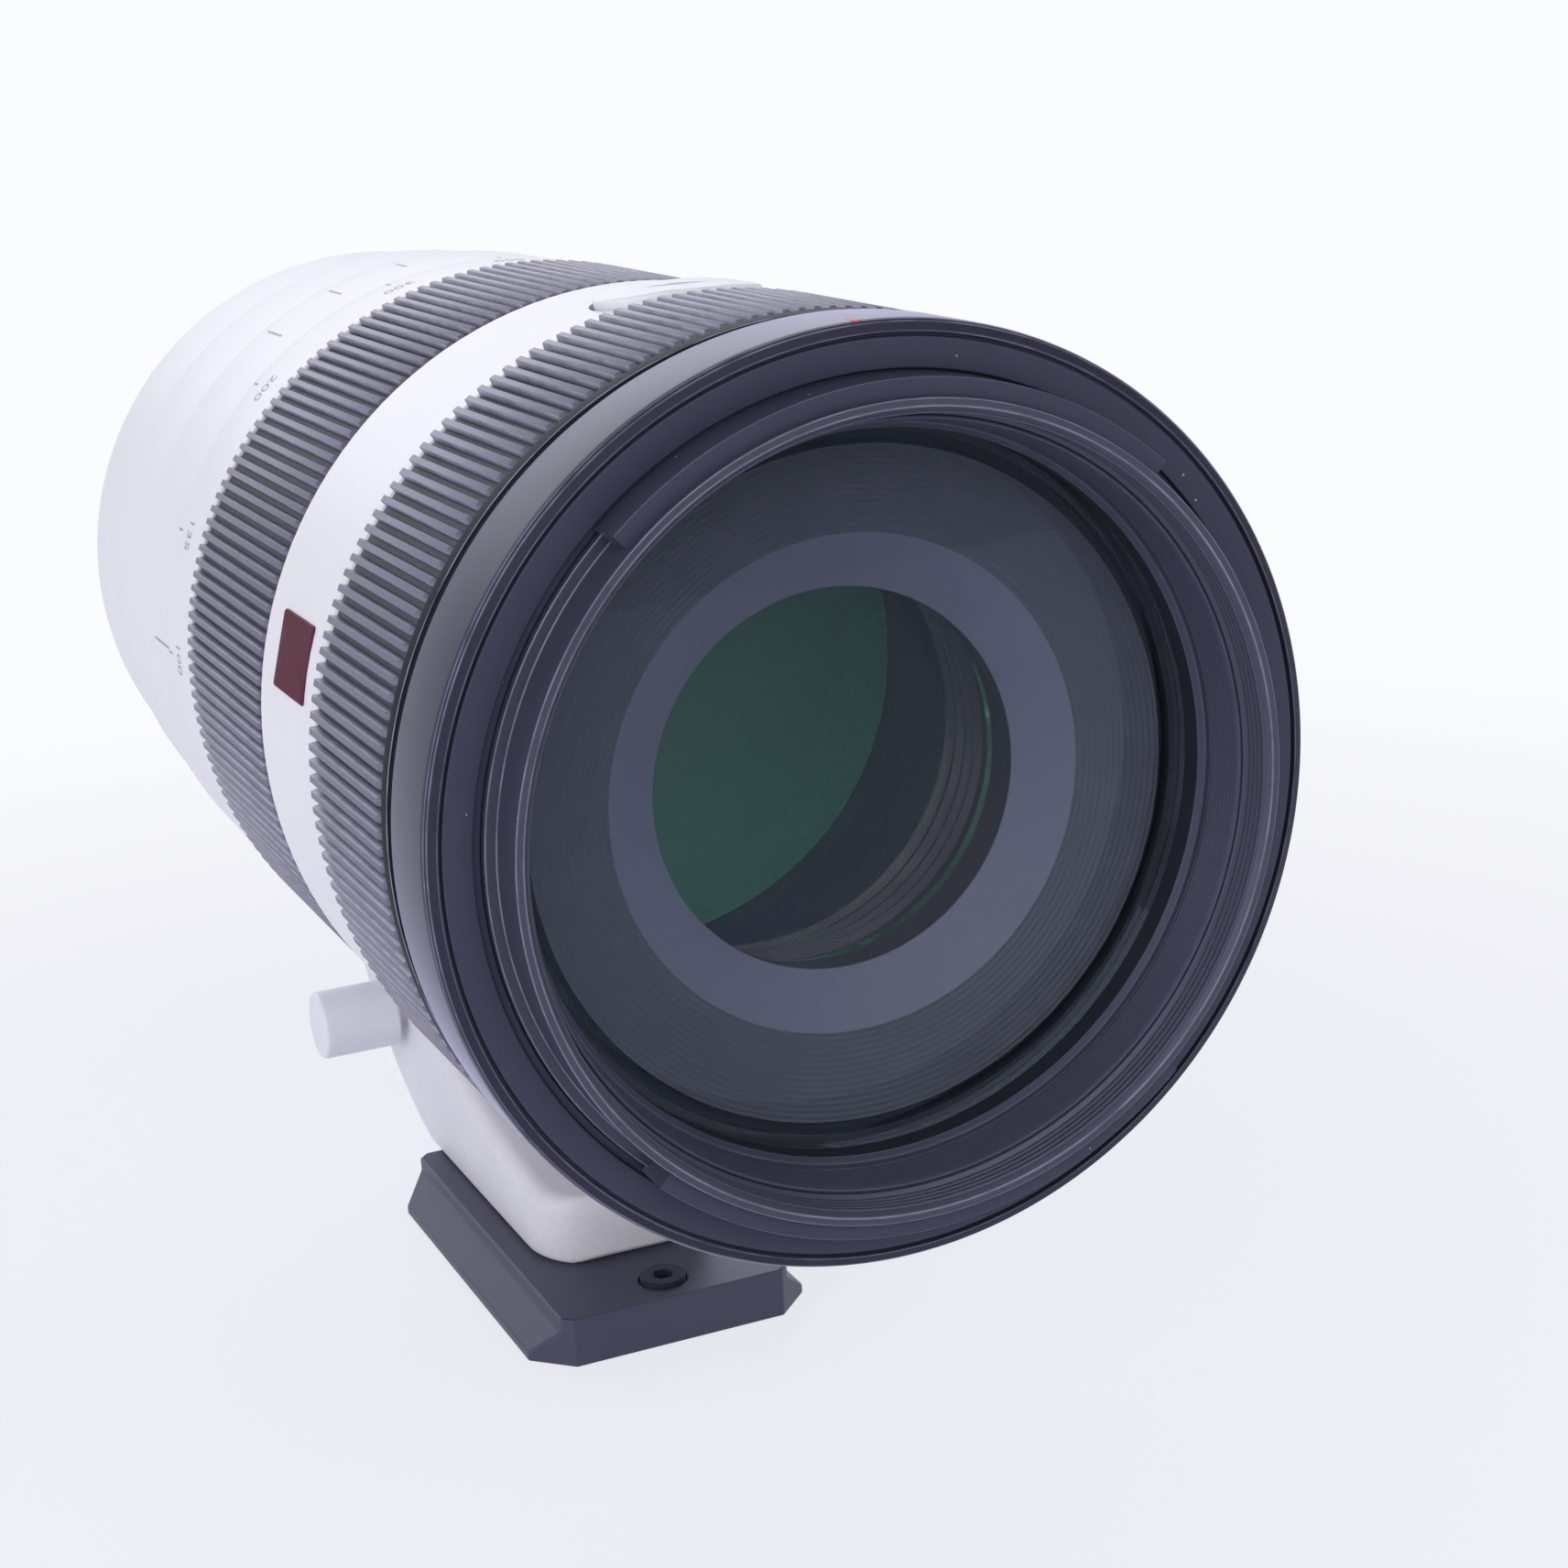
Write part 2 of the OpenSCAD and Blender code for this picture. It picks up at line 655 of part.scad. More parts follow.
// Ring that holds the front element: fine saw teeth below the thread, then a round-nosed clamp on the glass
module front_retainer() {
    teeth = 8;
    front = thread_z - 0.1;
    ridge_end = rest_z + 3.6;
    step = (front - ridge_end) / teeth;
    wide = retainer_r - 0.6;
    narrow = wide - 0.3;
    nose_r = glass_r - 0.25;
    depth = 0.3;
    cone = [for (i = [0:teeth - 1]) for (k = [0, 1]) let (r = wide + (narrow - wide) * (i + k) / teeth)
        [r + depth * (1 - k), front - step * (i + 0.85 * k)]];
    color(black) lens_frame() lathe(concat(
        cone,
        [[narrow + depth, ridge_end], [narrow + depth, ridge_end - 0.5], [nose_r + 0.5, ridge_end - 0.5],
         [nose_r + 0.15, ridge_end - 0.7], [nose_r, ridge_end - 1.1], [nose_r, rest_z + fit_gap],
         [retainer_r, rest_z + fit_gap], [retainer_r, front]]));
}

module front_element() {
    color(glass) lens_frame() flat_back_glass(glass_r, rest_z - glass_edge, rest_z, glass_sag);
}

// Baffle behind the front element: a dark groove, a ridged funnel, a smooth cone down to the light opening
// and a rear tube with fine rings that carries the second element
module front_baffle() {
    teeth = 9;
    rings = 4;
    rim = ext_ri - 1.3;
    wide = rim - baffle_groove;
    face = baffle_z - baffle_depth;
    hole_z = face - baffle_drop;
    back = hole_z - baffle_wall;
    step = baffle_depth / teeth;
    tube_ro = skirt_ri + 1.4;
    ring_step = (back - skirt_end - seat_len) / rings;
    funnel = [for (i = [0:teeth - 1]) for (k = [0, 1])
        let (r = wide + (baffle_face_r - wide) * (i + 0.6 * k) / teeth) [r, baffle_z - step * (i + k)]];
    tube = [for (i = [0:rings - 1]) for (k = [0, 1])
        [skirt_ri - 0.3 * (1 - k), back - ring_step * (i + (k == 0 ? 0.3 : 0.8))]];
    color(black) lens_frame() lathe(concat(
        [[ext_ri - fit_gap, baffle_z], [rim, baffle_z], [rim, face], [wide, face]], funnel,
        [[baffle_face_r, face], [baffle_hole_r, hole_z], [baffle_hole_r, back]], tube,
        [[skirt_ri, skirt_end], [tube_ro, skirt_end], [tube_ro, back], [wide, face - baffle_wall],
         [rim, face - baffle_wall], [rim, baffle_z - baffle_seat],
         [ext_ri - fit_gap, baffle_z - baffle_seat]]));
}

module second_element() {
    color(glass) lens_frame()
        convex_glass(skirt_ri - glass_fit, skirt_end + 2, skirt_end + seat_len, 1.2, 2.4);
}

module extension_tube() {
    stop_z = baffle_z - baffle_seat - fit_gap;
    color(black) lens_frame() difference() {
        lathe([
            [ext_ri, rest_z - fit_gap], [ext_ro, rest_z - fit_gap], [ext_ro, follower_z - 4],
            [ext_ri, follower_z - 4], [ext_ri, stop_z - 1.5], [ext_ri - 1, stop_z - 1.5],
            [ext_ri - 1, stop_z],
            [ext_ri, stop_z]]);
        for (a = follower_angles) radial(a, follower_z) rod(1.55, ext_ri - 2, ext_ro + 2);
    }
}

// Rollers that run in the guide tube's straight slots and the cam tube's helical slots
module cam_followers() {
    color(steel) lens_frame() for (a = follower_angles) radial(a, follower_z) {
        rod(1.5, ext_ri + 0.1, ext_ro + 0.5);
        rod(follower_r, ext_ro + 0.2, cam_ro - 0.1);
    }
}

// Zoom ring

// Cutter for one helical slot: a square bar swept from the follower's rest place along the zoom's lead
module cam_cutter(angle) {
    steps = 24;
    r_mid = (cam_ri + cam_ro) / 2;
    around = r_mid * zoom_angle * PI / 180;
    path = sqrt(around * around + zoom_travel * zoom_travel);
    spare = (slot_half + 0.6) / path;
    shift_a = slot_half * zoom_travel / path / r_mid * 180 / PI;
    shift_z = slot_half * around / path;
    function corner(t, side, r) =
        let (a = angle - zoom_angle * t + side * shift_a)
        [r * cos(a), r * sin(a), follower_z + zoom_travel * t + side * shift_z];
    points = [for (i = [0:steps]) let (t = -spare + (1 + 2 * spare) * i / steps)
        each [
            corner(t, -1, cam_ri - 1), corner(t, 1, cam_ri - 1),
            corner(t, 1, cam_ro + 3), corner(t, -1, cam_ro + 3)]];
    sides = [for (i = [0:steps - 1], k = [0:3]) let (a = 4 * i + k, b = 4 * i + (k + 1) % 4)
        each [[a, b, b + 4], [a, b + 4, a + 4]]];
    last = 4 * steps;
    ends = [[0, 2, 1], [0, 3, 2], [last, last + 1, last + 2], [last, last + 2, last + 3]];
    polyhedron(points, concat(ends, sides));
}

module cam_tube() {
    color(black) lens_frame() difference() {
        union() {
            ring(cam_ri, cam_ro, cam_z0, cam_z1);
            for (a = follower_angles) rotate([0, 0, a + 30])
                sector(cam_ro - 0.4, shell_ri + 1.1, zoom_z0 + 2, zoom_z0 + 8, -key_half, key_half);
        }
        for (a = follower_angles) cam_cutter(a);
    }
}

module zoom_sleeve() {
    color(white) lens_frame() difference() {
        lathe([
            [shell_ri, tail_z0], [tail_r - 0.3, tail_z0], [tail_r, tail_z0 + 0.3], [tail_r, zoom_z0 - 0.3],
            [tail_r - 0.3, zoom_z0], [sleeve_ro, zoom_z0], [sleeve_ro, zoom_z1], [shell_ri, zoom_z1]]);
        for (a = follower_angles) rotate([0, 0, a + 30])
            sector(
                shell_ri - 0.5, shell_ri + 1.2, zoom_z0 + 1.9, zoom_z0 + 8.1,
                -key_half - 0.2, key_half + 0.2);
    }
}

// Rubber grip with straight ribs whose front ends slope down to the floor between them
module grip(r_in, r_tip, z0, z1) {
    floor_r = r_tip - rib_h;
    pitch = 360 / rib_count;
    foot_share = 0.56;
    tip_share = 0.38;
    outline = [for (i = [0:rib_count - 1]) each [
        for (p = [[floor_r, -foot_share], [r_tip, -tip_share], [r_tip, tip_share], [floor_r, foot_share]])
        let (a = (i + p[1] / 2) * pitch) p[0] * [cos(a), sin(a)]]];
    intersection() {
        translate([0, 0, z0]) linear_extrude(z1 - z0) difference() {
            polygon(outline);
            circle(r = r_in, $fn = 360);
        }
        lathe([
            [r_in - 2, z0 - 1], [r_tip + 2, z0 - 1], [r_tip + 2, z1 - rib_h - 2.4],
            [floor_r + 0.02, z1 - 0.38],
            [floor_r + 0.02, z1 + 1], [r_in - 2, z1 + 1]]);
    }
}

module zoom_grip() {
    color(rubber) lens_frame() grip(sleeve_ro + fit_gap, zoom_r, zoom_z0 + 0.1, zoom_z1 - 0.2);
}

// Focus ring

module focus_sleeve() {
    rim = 0.9;
    color(black) lens_frame() lathe([
        [focus_ri, focus_z0], [focus_sleeve_ro, focus_z0], [focus_sleeve_ro, focus_z1 - rim],
        [focus_r - 0.1, focus_z1 - rim], [focus_r - 0.1, focus_z1 - 0.3], [focus_r - 0.4, focus_z1],
        [focus_ri, focus_z1]]);
}

module focus_grip() {
    color(rubber) lens_frame() grip(focus_sleeve_ro + fit_gap, focus_r, focus_z0 + 0.1, focus_z1 - 1.1);
}

module tension_ring() {
    edge = 0.3;
    color(white) lens_frame() lathe([
        [tension_ri, tension_z0], [tension_ro - edge, tension_z0], [tension_ro, tension_z0 + edge],
        [tension_ro, tension_z1 - edge], [tension_ro - edge, tension_z1], [tension_ri, tension_z1]]);
}

// Inner groups

// Cell that holds an element of radius r against a lip at its rear
module lens_cell(r, z0, z1) lathe([
    [r - 0.9, z0], [group_r, z0], [group_r, z1], [r + glass_fit + cell_edge, z1], [r + glass_fit, z1 - 2.5],
    [r + glass_fit, z0 + cell_edge], [r - 0.9, z0 + cell_edge]]);

module variator_cell() {
    color(black) lens_frame() lens_cell(variator_glass_r, variator_z, variator_z + variator_len);
}

module variator_element() {
    rim_z = variator_z + cell_edge + glass_fit;
    color(glass) lens_frame() concave_glass(variator_glass_r, rim_z, rim_z + 6.3, 1.6, 1.8);
}

module focus_cell() {
    color(black) lens_frame() lens_cell(focus_glass_r, focus_cell_z, focus_cell_z + focus_cell_len);
}

module focus_element() {
    rim_z = focus_cell_z + cell_edge + glass_fit;
    color(glass) lens_frame() convex_glass(focus_glass_r, rim_z, rim_z + 2.7, 1.4, 2);
}

module stabiliser_frame() {
    z0 = steady_z + 1.8;
    frame_ro = relay_ri - 1.6;
    color(black) lens_frame() difference() {
        ring(steady_frame_ri, frame_ro, z0, z0 + steady_frame_t);
        for (a = [0:90:270]) rotate([0, 0, a]) translate([frame_ro, 0, 0])
            block(6, 14, z0 - 1, z0 + steady_frame_t + 1);
    }
}

module stabiliser_cell() {
    z0 = steady_z + steady_frame_t + 2.1;
    color(black) lens_frame() ring(steady_glass_r + glass_fit, steady_cell_ro, z0, z0 + steady_cell_t);
}

module stabiliser_element() {
    z0 = steady_z + steady_frame_t + 2.5;
    color(glass) lens_frame() concave_glass(steady_glass_r, z0, z0 + steady_cell_t - 0.7, 1, 1);
}

// Iris: pins on a plate, blades in layers, and a ring that turns them by their drive pins

module iris_housing() {
    blade_top = iris_ring_z - 0.15;
    rim_r = pivot_r + drive_arm + 1.9;
    color(black) lens_frame() {
        lathe([
            [iris_r, iris_z], [relay_ri - fit_gap, iris_z], [relay_ri - fit_gap, iris_ring_z + iris_ring_t],
            [rim_r, iris_ring_z + iris_ring_t], [rim_r, iris_z + iris_plate_t],
            [iris_r, iris_z + iris_plate_t]]);
        for (i = [1:iris_blades]) rotate([0, 0, i * 360 / iris_blades]) translate([pivot_r, 0, 0])
            rod(pivot_pin_r, iris_z + 0.5, blade_top);
    }
}

module iris_ring() {
    half_turn = blade_turn / 2;
    color(black) lens_frame() difference() {
        ring(pivot_r + drive_arm - 1.4, pivot_r + drive_arm + 1.5, iris_ring_z, iris_ring_z + iris_ring_t);
        for (i = [1:iris_blades]) rotate([0, 0, i * 360 / iris_blades])
            translate([pivot_r + drive_arm * cos(half_turn), -drive_arm * sin(half_turn), 0])
                rod(drive_pin_r + 0.25, iris_ring_z - 1, iris_ring_z + iris_ring_t + 1);
    }
}

// Crescent that hangs on its pivot pin at one end, with a drive pin on the tab beyond it
module iris_blade(i) {
    z0 = iris_z + iris_plate_t + 0.3 + (i - 1) * blade_pitch;
    span = 100;
    half_turn = blade_turn / 2;
    color(rubber) lens_frame() rotate([0, 0, i * 360 / iris_blades]) {
        difference() {
            union() {
                sector(iris_r + 0.6, iris_r + 0.6 + blade_w, z0, z0 + blade_t, -5, span);
                translate([pivot_r, 0, 0]) {
                    rod(1.8, z0, z0 + blade_t);
                    rotate([0, 0, -half_turn]) {
                        translate([0, -1, z0]) cube([drive_arm, 2, blade_t]);
                        translate([drive_arm, 0, 0]) rod(1, z0, z0 + blade_t);
                    }
                }
            }
            translate([pivot_r, 0, 0]) rod(pivot_pin_r + 0.05, z0 - 1, z0 + 1);
        }
        translate([pivot_r, 0, 0]) rotate([0, 0, -half_turn]) translate([drive_arm, 0, 0])
            rod(drive_pin_r, z0, iris_ring_z + iris_ring_t - 0.2);
    }
}

collar_ring();
tripod_foot();
quick_plate();
plate_screw();
stop_screw();
lock_knob();
rear_barrel();
mid_barrel();
guide_tube();
relay_tube();
switch_panel();
mount_flange();
mount_screws();
mount_seal();
contact_block();
contact_pins();
rear_baffle();
rear_cell();
rear_element();
circuit_board();
iris_housing();
front_ring();
filter_ring();
front_retainer();
front_element();
front_baffle();
second_element();
extension_tube();
cam_followers();
zoom_sleeve();
zoom_grip();
cam_tube();
focus_sleeve();
focus_grip();
tension_ring();
hold_button(90);  // hold_button_top
hold_button(0);  // hold_button_side
hold_button(-90);  // hold_button_bottom
slide_switch(1.5);  // switch_focus_mode
slide_switch(0.5);  // switch_manual
slide_switch(-0.5);  // switch_range
slide_switch(-1.5);  // switch_steady
variator_cell();
variator_element();
focus_cell();
focus_element();
stabiliser_frame();
stabiliser_cell();
stabiliser_element();
iris_ring();
for (i = [1:iris_blades]) iris_blade(i);
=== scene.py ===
# %% [markdown]
# # Dressing a telephoto zoom lens
# The object is a white telephoto zoom that stands on the dovetail plate under its tripod foot.
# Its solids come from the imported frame. This lesson gives each visible piece a finer surface and
# each surface a finish, and puts the result in a bright, plain studio.

# %% Load the frame
import math

import bmesh
import bpy
import numpy as np
from mathutils import Matrix, Vector


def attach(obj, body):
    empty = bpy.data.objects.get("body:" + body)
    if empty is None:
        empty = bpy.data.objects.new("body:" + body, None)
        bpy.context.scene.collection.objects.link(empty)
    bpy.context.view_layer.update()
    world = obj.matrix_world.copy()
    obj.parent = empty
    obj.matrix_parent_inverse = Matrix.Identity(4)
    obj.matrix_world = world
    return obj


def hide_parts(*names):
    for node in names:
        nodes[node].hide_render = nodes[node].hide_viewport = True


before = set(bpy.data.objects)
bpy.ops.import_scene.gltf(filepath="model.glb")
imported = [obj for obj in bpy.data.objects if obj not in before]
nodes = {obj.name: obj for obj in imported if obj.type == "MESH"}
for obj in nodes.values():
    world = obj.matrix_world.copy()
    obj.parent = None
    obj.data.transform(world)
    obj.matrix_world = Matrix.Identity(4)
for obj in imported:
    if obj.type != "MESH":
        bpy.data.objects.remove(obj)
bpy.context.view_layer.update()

scene = bpy.context.scene

# %% [markdown]
# ## Camera
# The view looks at the front element from the upper left, close enough that the rear of the barrel
# shrinks strongly. A camera could be aimed with a constraint, but a matrix written from three
# angles keeps its small roll as well.

# %% Camera
MM = 0.001
PICTURE_SIDE, FOCAL_PIXELS, SENSOR = 1712, 3120.1, 36.0
CAMERA_PLACE = Vector((-112.72, -332.99, 162.37)) * MM
azimuth, elevation, roll = np.radians([-23.334, 15.792, -3.256])
look = Vector((-math.sin(azimuth) * math.cos(elevation),
               math.cos(azimuth) * math.cos(elevation), -math.sin(elevation)))
level_right = look.cross(Vector((0, 0, 1))).normalized()
level_up = level_right.cross(look)
right = math.cos(roll) * level_right + math.sin(roll) * level_up
up = math.cos(roll) * level_up - math.sin(roll) * level_right
camera_data = bpy.data.cameras.new("camera")
camera_data.sensor_width = SENSOR
camera_data.lens = SENSOR * FOCAL_PIXELS / PICTURE_SIDE
camera_data.clip_start = 0.01
camera = bpy.data.objects.new("camera", camera_data)
scene.collection.objects.link(camera)
camera_axes = Matrix((right, up, -look)).transposed().to_4x4()
camera.matrix_world = Matrix.Translation(CAMERA_PLACE) @ camera_axes
scene.camera = camera
print("lens of the camera: %.1f mm" % camera_data.lens)

# %% [markdown]
# ## Helpers for node trees
# Every finish below is a small tree of nodes. One helper adds a node, sets its values and links
# its inputs. A few more name the nodes that come back often, so that a tree reads like a sum.

# %% Node helpers
def add(tree, kind, inputs=None, **settings):
    """Adds a node. A socket among the inputs is linked, and any other value is set."""
    node = tree.nodes.new(kind)
    for key, value in settings.items():
        setattr(node, key, value)
    for key, value in (inputs or {}).items():
        if isinstance(value, bpy.types.NodeSocket):
            tree.links.new(value, node.inputs[key])
        else:
            node.inputs[key].default_value = value
    return node


def on_object(tree):
    """Object coordinates, which stay with a piece when it moves."""
    return add(tree, "ShaderNodeTexCoord").outputs["Object"]


def noise(tree, scale, detail, **more):
    """Noise over the object, from 0 to 1."""
    inputs = {"Vector": on_object(tree), "Scale": scale, "Detail": detail, **more}
    return add(tree, "ShaderNodeTexNoise", inputs).outputs["Fac"]


def maths(tree, operation, a, b):
    """Result of one operation on two numbers or sockets."""
    return add(tree, "ShaderNodeMath", {0: a, 1: b}, operation=operation).outputs["Value"]


def spread(tree, value, low, high, to_low=0.0, to_high=1.0, curve="LINEAR"):
    """Carries a value from the range low to high over to the range to_low to to_high."""
    return add(tree, "ShaderNodeMapRange", {
        "Value": value, "From Min": low, "From Max": high, "To Min": to_low, "To Max": to_high},
        interpolation_type=curve).outputs["Result"]


def rgba(colour):
    """Colour with full opacity, as a colour socket takes it."""
    return (*colour, 1.0)


def mix(tree, share, first, second):
    """Colour between two colours. The first may be a socket."""
    if not isinstance(first, bpy.types.NodeSocket):
        first = rgba(first)
    return add(tree, "ShaderNodeMixRGB", {
        "Fac": share, "Color1": first, "Color2": rgba(second)}).outputs["Color"]


def new_material(name, constants):
    """Material of one Principled shader with constants on its sockets, its tree and the shader."""
    material = bpy.data.materials.new(name)
    material.use_nodes = True
    shader = material.node_tree.nodes["Principled BSDF"]
    for key, value in constants.items():
        shader.inputs[key].default_value = value
    return material, material.node_tree, shader


def new_group(name, inputs, outputs):
    """Starts a shader node group of numbers, and returns it with its two end nodes' sockets."""
    group = bpy.data.node_groups.new(name, "ShaderNodeTree")
    for label, value in inputs.items():
        group.interface.new_socket(
            label, in_out="INPUT", socket_type="NodeSocketFloat").default_value = value
    for label in outputs:
        group.interface.new_socket(label, in_out="OUTPUT", socket_type="NodeSocketFloat")
    start, end = group.nodes.new("NodeGroupInput"), group.nodes.new("NodeGroupOutput")
    return group, start.outputs, end.inputs


# %% [markdown]
# ## Studio
# The lens stands in a white booth: pale floor, pale walls, a darker room on the camera's side, and
# two wide softboxes, one behind the lens and one in front, with a smaller one at its left. The rear
# one draws the bright streak along the top of the black rings, and the front one the thin lights
# on their edges. A plain world colour would light every side alike, so the world is a gradient.

# %% Floor and backdrop
SHADOW_R, WHITE_R, GLOW_NEAR = 0.06, 0.4, 0.75


def sweep_floor():
    """Backdrop: a flat floor that turns up behind in a quarter circle. The path is carried along X,
    over a width that grows towards the front, where the floor runs far out to keep its edge low."""
    bend, back, high, near, front, half = 0.7, 1.5, 2.4, 0.5, 30.0, 3.5
    turn = np.linspace(0, np.pi / 2, 24)
    y = np.concatenate([[-front, -near], back + bend * np.sin(turn), [back + bend]])
    z = np.concatenate([[0, 0], bend - bend * np.cos(turn), [high]])
    x = np.linspace(-half, half, 5)
    wide = np.maximum(1, -y / half)
    return np.stack(np.broadcast_arrays(x * wide[:, None], y[:, None], z[:, None]), axis=-1)


def quad_grid(rows, cols, wrap_rows=False, wrap_cols=False):
    """Corner numbers of each quad of a grid, as one array."""
    i = np.arange(rows if wrap_rows else rows - 1)[:, None]
    j = np.arange(cols if wrap_cols else cols - 1)[None, :]
    i2, j2 = (i + 1) % rows, (j + 1) % cols
    corners = np.broadcast_arrays(i * cols + j, i * cols + j2, i2 * cols + j2, i2 * cols + j)
    return np.stack(corners, axis=-1).reshape(-1, 4)


def paper_white():
    """Paper under a pale glow that only camera, glossy and transmission rays see. The glow's share
    of what they see is GLOW_NEAR up to SHADOW_R (m), where the shadow falls, and 1 past WHITE_R."""
    material, tree, shader = new_material(
        "floor_paper", {"Roughness": 0.9, "Specular IOR Level": 0.1})
    fibres = noise(tree, scale=3.0, detail=2.0)
    tint = mix(tree, fibres, (0.86, 0.85, 0.97), (0.88, 0.87, 0.98))
    tree.links.new(tint, shader.inputs["Base Color"])
    away = add(tree, "ShaderNodeVectorMath", {0: on_object(tree)}, operation="LENGTH")
    far = spread(tree, away.outputs["Value"], SHADOW_R, WHITE_R, GLOW_NEAR, 1.0, "SMOOTHSTEP")
    path = add(tree, "ShaderNodeLightPath").outputs
    sight = maths(tree, "MAXIMUM", path["Is Camera Ray"], path["Is Glossy Ray"])
    seen = maths(tree, "MAXIMUM", sight, path["Is Transmission Ray"])
    share = maths(tree, "MULTIPLY", far, seen)
    # The glow is a little darker and more lavender near the lens than far out: painted shade around
    # the lens.
    glow = mix(tree, far, (0.85, 0.845, 0.97), (0.97, 0.975, 0.99))
    white = add(tree, "ShaderNodeEmission", {"Color": glow, "Strength": 1.0})
    both = add(tree, "ShaderNodeMixShader", {
        0: share, 1: shader.outputs["BSDF"], 2: white.outputs["Emission"]})
    tree.links.new(both.outputs["Shader"], tree.nodes["Material Output"].inputs["Surface"])
    return material


floor_points = sweep_floor()
floor_mesh = bpy.data.meshes.new("floor")
floor_mesh.from_pydata(
    floor_points.reshape(-1, 3).tolist(), [], quad_grid(*floor_points.shape[:2]).tolist())
floor_mesh.shade_smooth()
floor_mesh.materials.append(paper_white())
floor = bpy.data.objects.new("floor", floor_mesh)
scene.collection.objects.link(floor)
print("floor faces:", len(floor_mesh.polygons))


# %% World and softboxes
LENS_MIDDLE = Vector((0, 0, 0.085))


def booth_world():
    """World brightness over the direction: falls with height, and towards the camera (-Y)."""
    world = bpy.data.worlds.new("booth")
    world.use_nodes = True
    tree = world.node_tree
    direction = add(tree, "ShaderNodeTexCoord").outputs["Generated"]
    axes = add(tree, "ShaderNodeSeparateXYZ", {"Vector": direction}).outputs
    height = spread(tree, axes["Z"], -0.1, 0.8, 1.35, 0.3, "SMOOTHSTEP")
    depth = spread(tree, axes["Y"], -0.75, -0.05, 0.25, 1.0, "SMOOTHSTEP")
    sky = tree.nodes["Background"]
    sky.inputs["Color"].default_value = rgba((0.95, 0.95, 1.0))
    tree.links.new(maths(tree, "MULTIPLY", height, depth), sky.inputs["Strength"])
    return world


def softbox(name, place, size, radiance, tint):
    """Rectangular lamp aimed at the lens. Its watts are radiance times pi times its area."""
    data = bpy.data.lights.new(name, "AREA")
    data.shape = "RECTANGLE"
    data.size, data.size_y = size
    data.energy = radiance * math.pi * size[0] * size[1]
    data.color = tint
    lamp = bpy.data.objects.new(name, data)
    scene.collection.objects.link(lamp)
    lamp.location = place
    lamp.rotation_euler = (LENS_MIDDLE - lamp.location).to_track_quat("-Z", "Y").to_euler()
    lamp.visible_camera = False


scene.world = booth_world()
softbox("lamp_rear", (0.0, 1.2, 0.72), (1.5, 0.6), 2.2, (0.90, 0.90, 1.0))
softbox("lamp_front", (-0.05, -1.3, 0.84), (1.9, 0.8), 2.6, (0.98, 0.98, 1.0))
softbox("lamp_side", (-1.0, -0.6, 0.4), (0.9, 0.7), 2.2, (0.95, 0.95, 1.0))
scene.view_settings.view_transform = "Standard"

# %% [markdown]
# ## Effects that several finishes share
# Paint, rubber and anodised metal differ in colour and gloss, but all have a fine grain, a little
# dust, and lighter edges: partly polished by handling, partly a painted highlight where light
# would catch them. Each effect is one node group that puts out numbers, so a finish places it with
# its own values. The lighter edges need to know where an edge is: the surfaces made below carry an
# attribute named edge, which is 1 along each rounded corner.

# %% Shared effect groups
def grain_group():
    """Grain: noise on Object coordinates; Value runs between Low and High, Height from 0 to 1."""
    group, given, result = new_group(
        "grain", {"Scale": 1500.0, "Low": 0.0, "High": 1.0}, ["Value", "Height"])
    height = noise(group, given["Scale"], detail=3.0, Roughness=0.6)
    value = spread(group, height, 0.3, 0.7, given["Low"], given["High"])
    group.links.new(value, result["Value"])
    group.links.new(height, result["Height"])
    return group


def dust_group():
    """Dust: round specks where a cell's distance is small, thinned out by a broad noise."""
    group, given, result = new_group("dust", {"Scale": 500.0, "Speck": 0.12}, ["Mask"])
    cells = add(group, "ShaderNodeTexVoronoi", {
        "Vector": on_object(group), "Scale": given["Scale"]}).outputs["Distance"]
    speck = maths(group, "LESS_THAN", cells, given["Speck"])
    patch = maths(group, "GREATER_THAN", noise(group, scale=160.0, detail=2.0), 0.58)
    group.links.new(maths(group, "MULTIPLY", speck, patch), result["Mask"])
    return group


def polished_edge_group():
    """Edge wear and painted highlight: the edge attribute, broken up by noise to make both uneven.
    """
    group, given, result = new_group("edge_wear_and_highlight", {"Strength": 0.5}, ["Mask"])
    edge = add(group, "ShaderNodeAttribute", attribute_name="edge").outputs["Fac"]
    wear_and_highlight = spread(group, noise(group, scale=260.0, detail=4.0), low=0.15, high=0.6)
    worn_and_lit = maths(group, "MULTIPLY", edge, wear_and_highlight)
    group.links.new(maths(group, "MULTIPLY", worn_and_lit, given["Strength"]), result["Mask"])
    return group


GRAIN, DUST, EDGE = grain_group(), dust_group(), polished_edge_group()
print("groups:", [g.name for g in bpy.data.node_groups])

# %% [markdown]
# ## Finishes
# One recipe serves every opaque finish: two close colours mixed by the grain, a lighter colour on
# edges that is part wear and part painted highlight, specks of dust, a roughness that follows the
# grain and a fine bump. Mixing two colours that are close to each other reads as one painted
# colour, but never as a flat one. A reflection at a flat angle takes no tint, so the cool tone of
# the satin black is a sheen.

# %% Recipe for an opaque finish
DUST_COLOUR, SHEEN_COLOUR = (0.45, 0.45, 0.48), (0.72, 0.72, 1.0)
PLAIN, COOL = (1.0, 1.0, 1.0), (0.70, 0.70, 1.0)


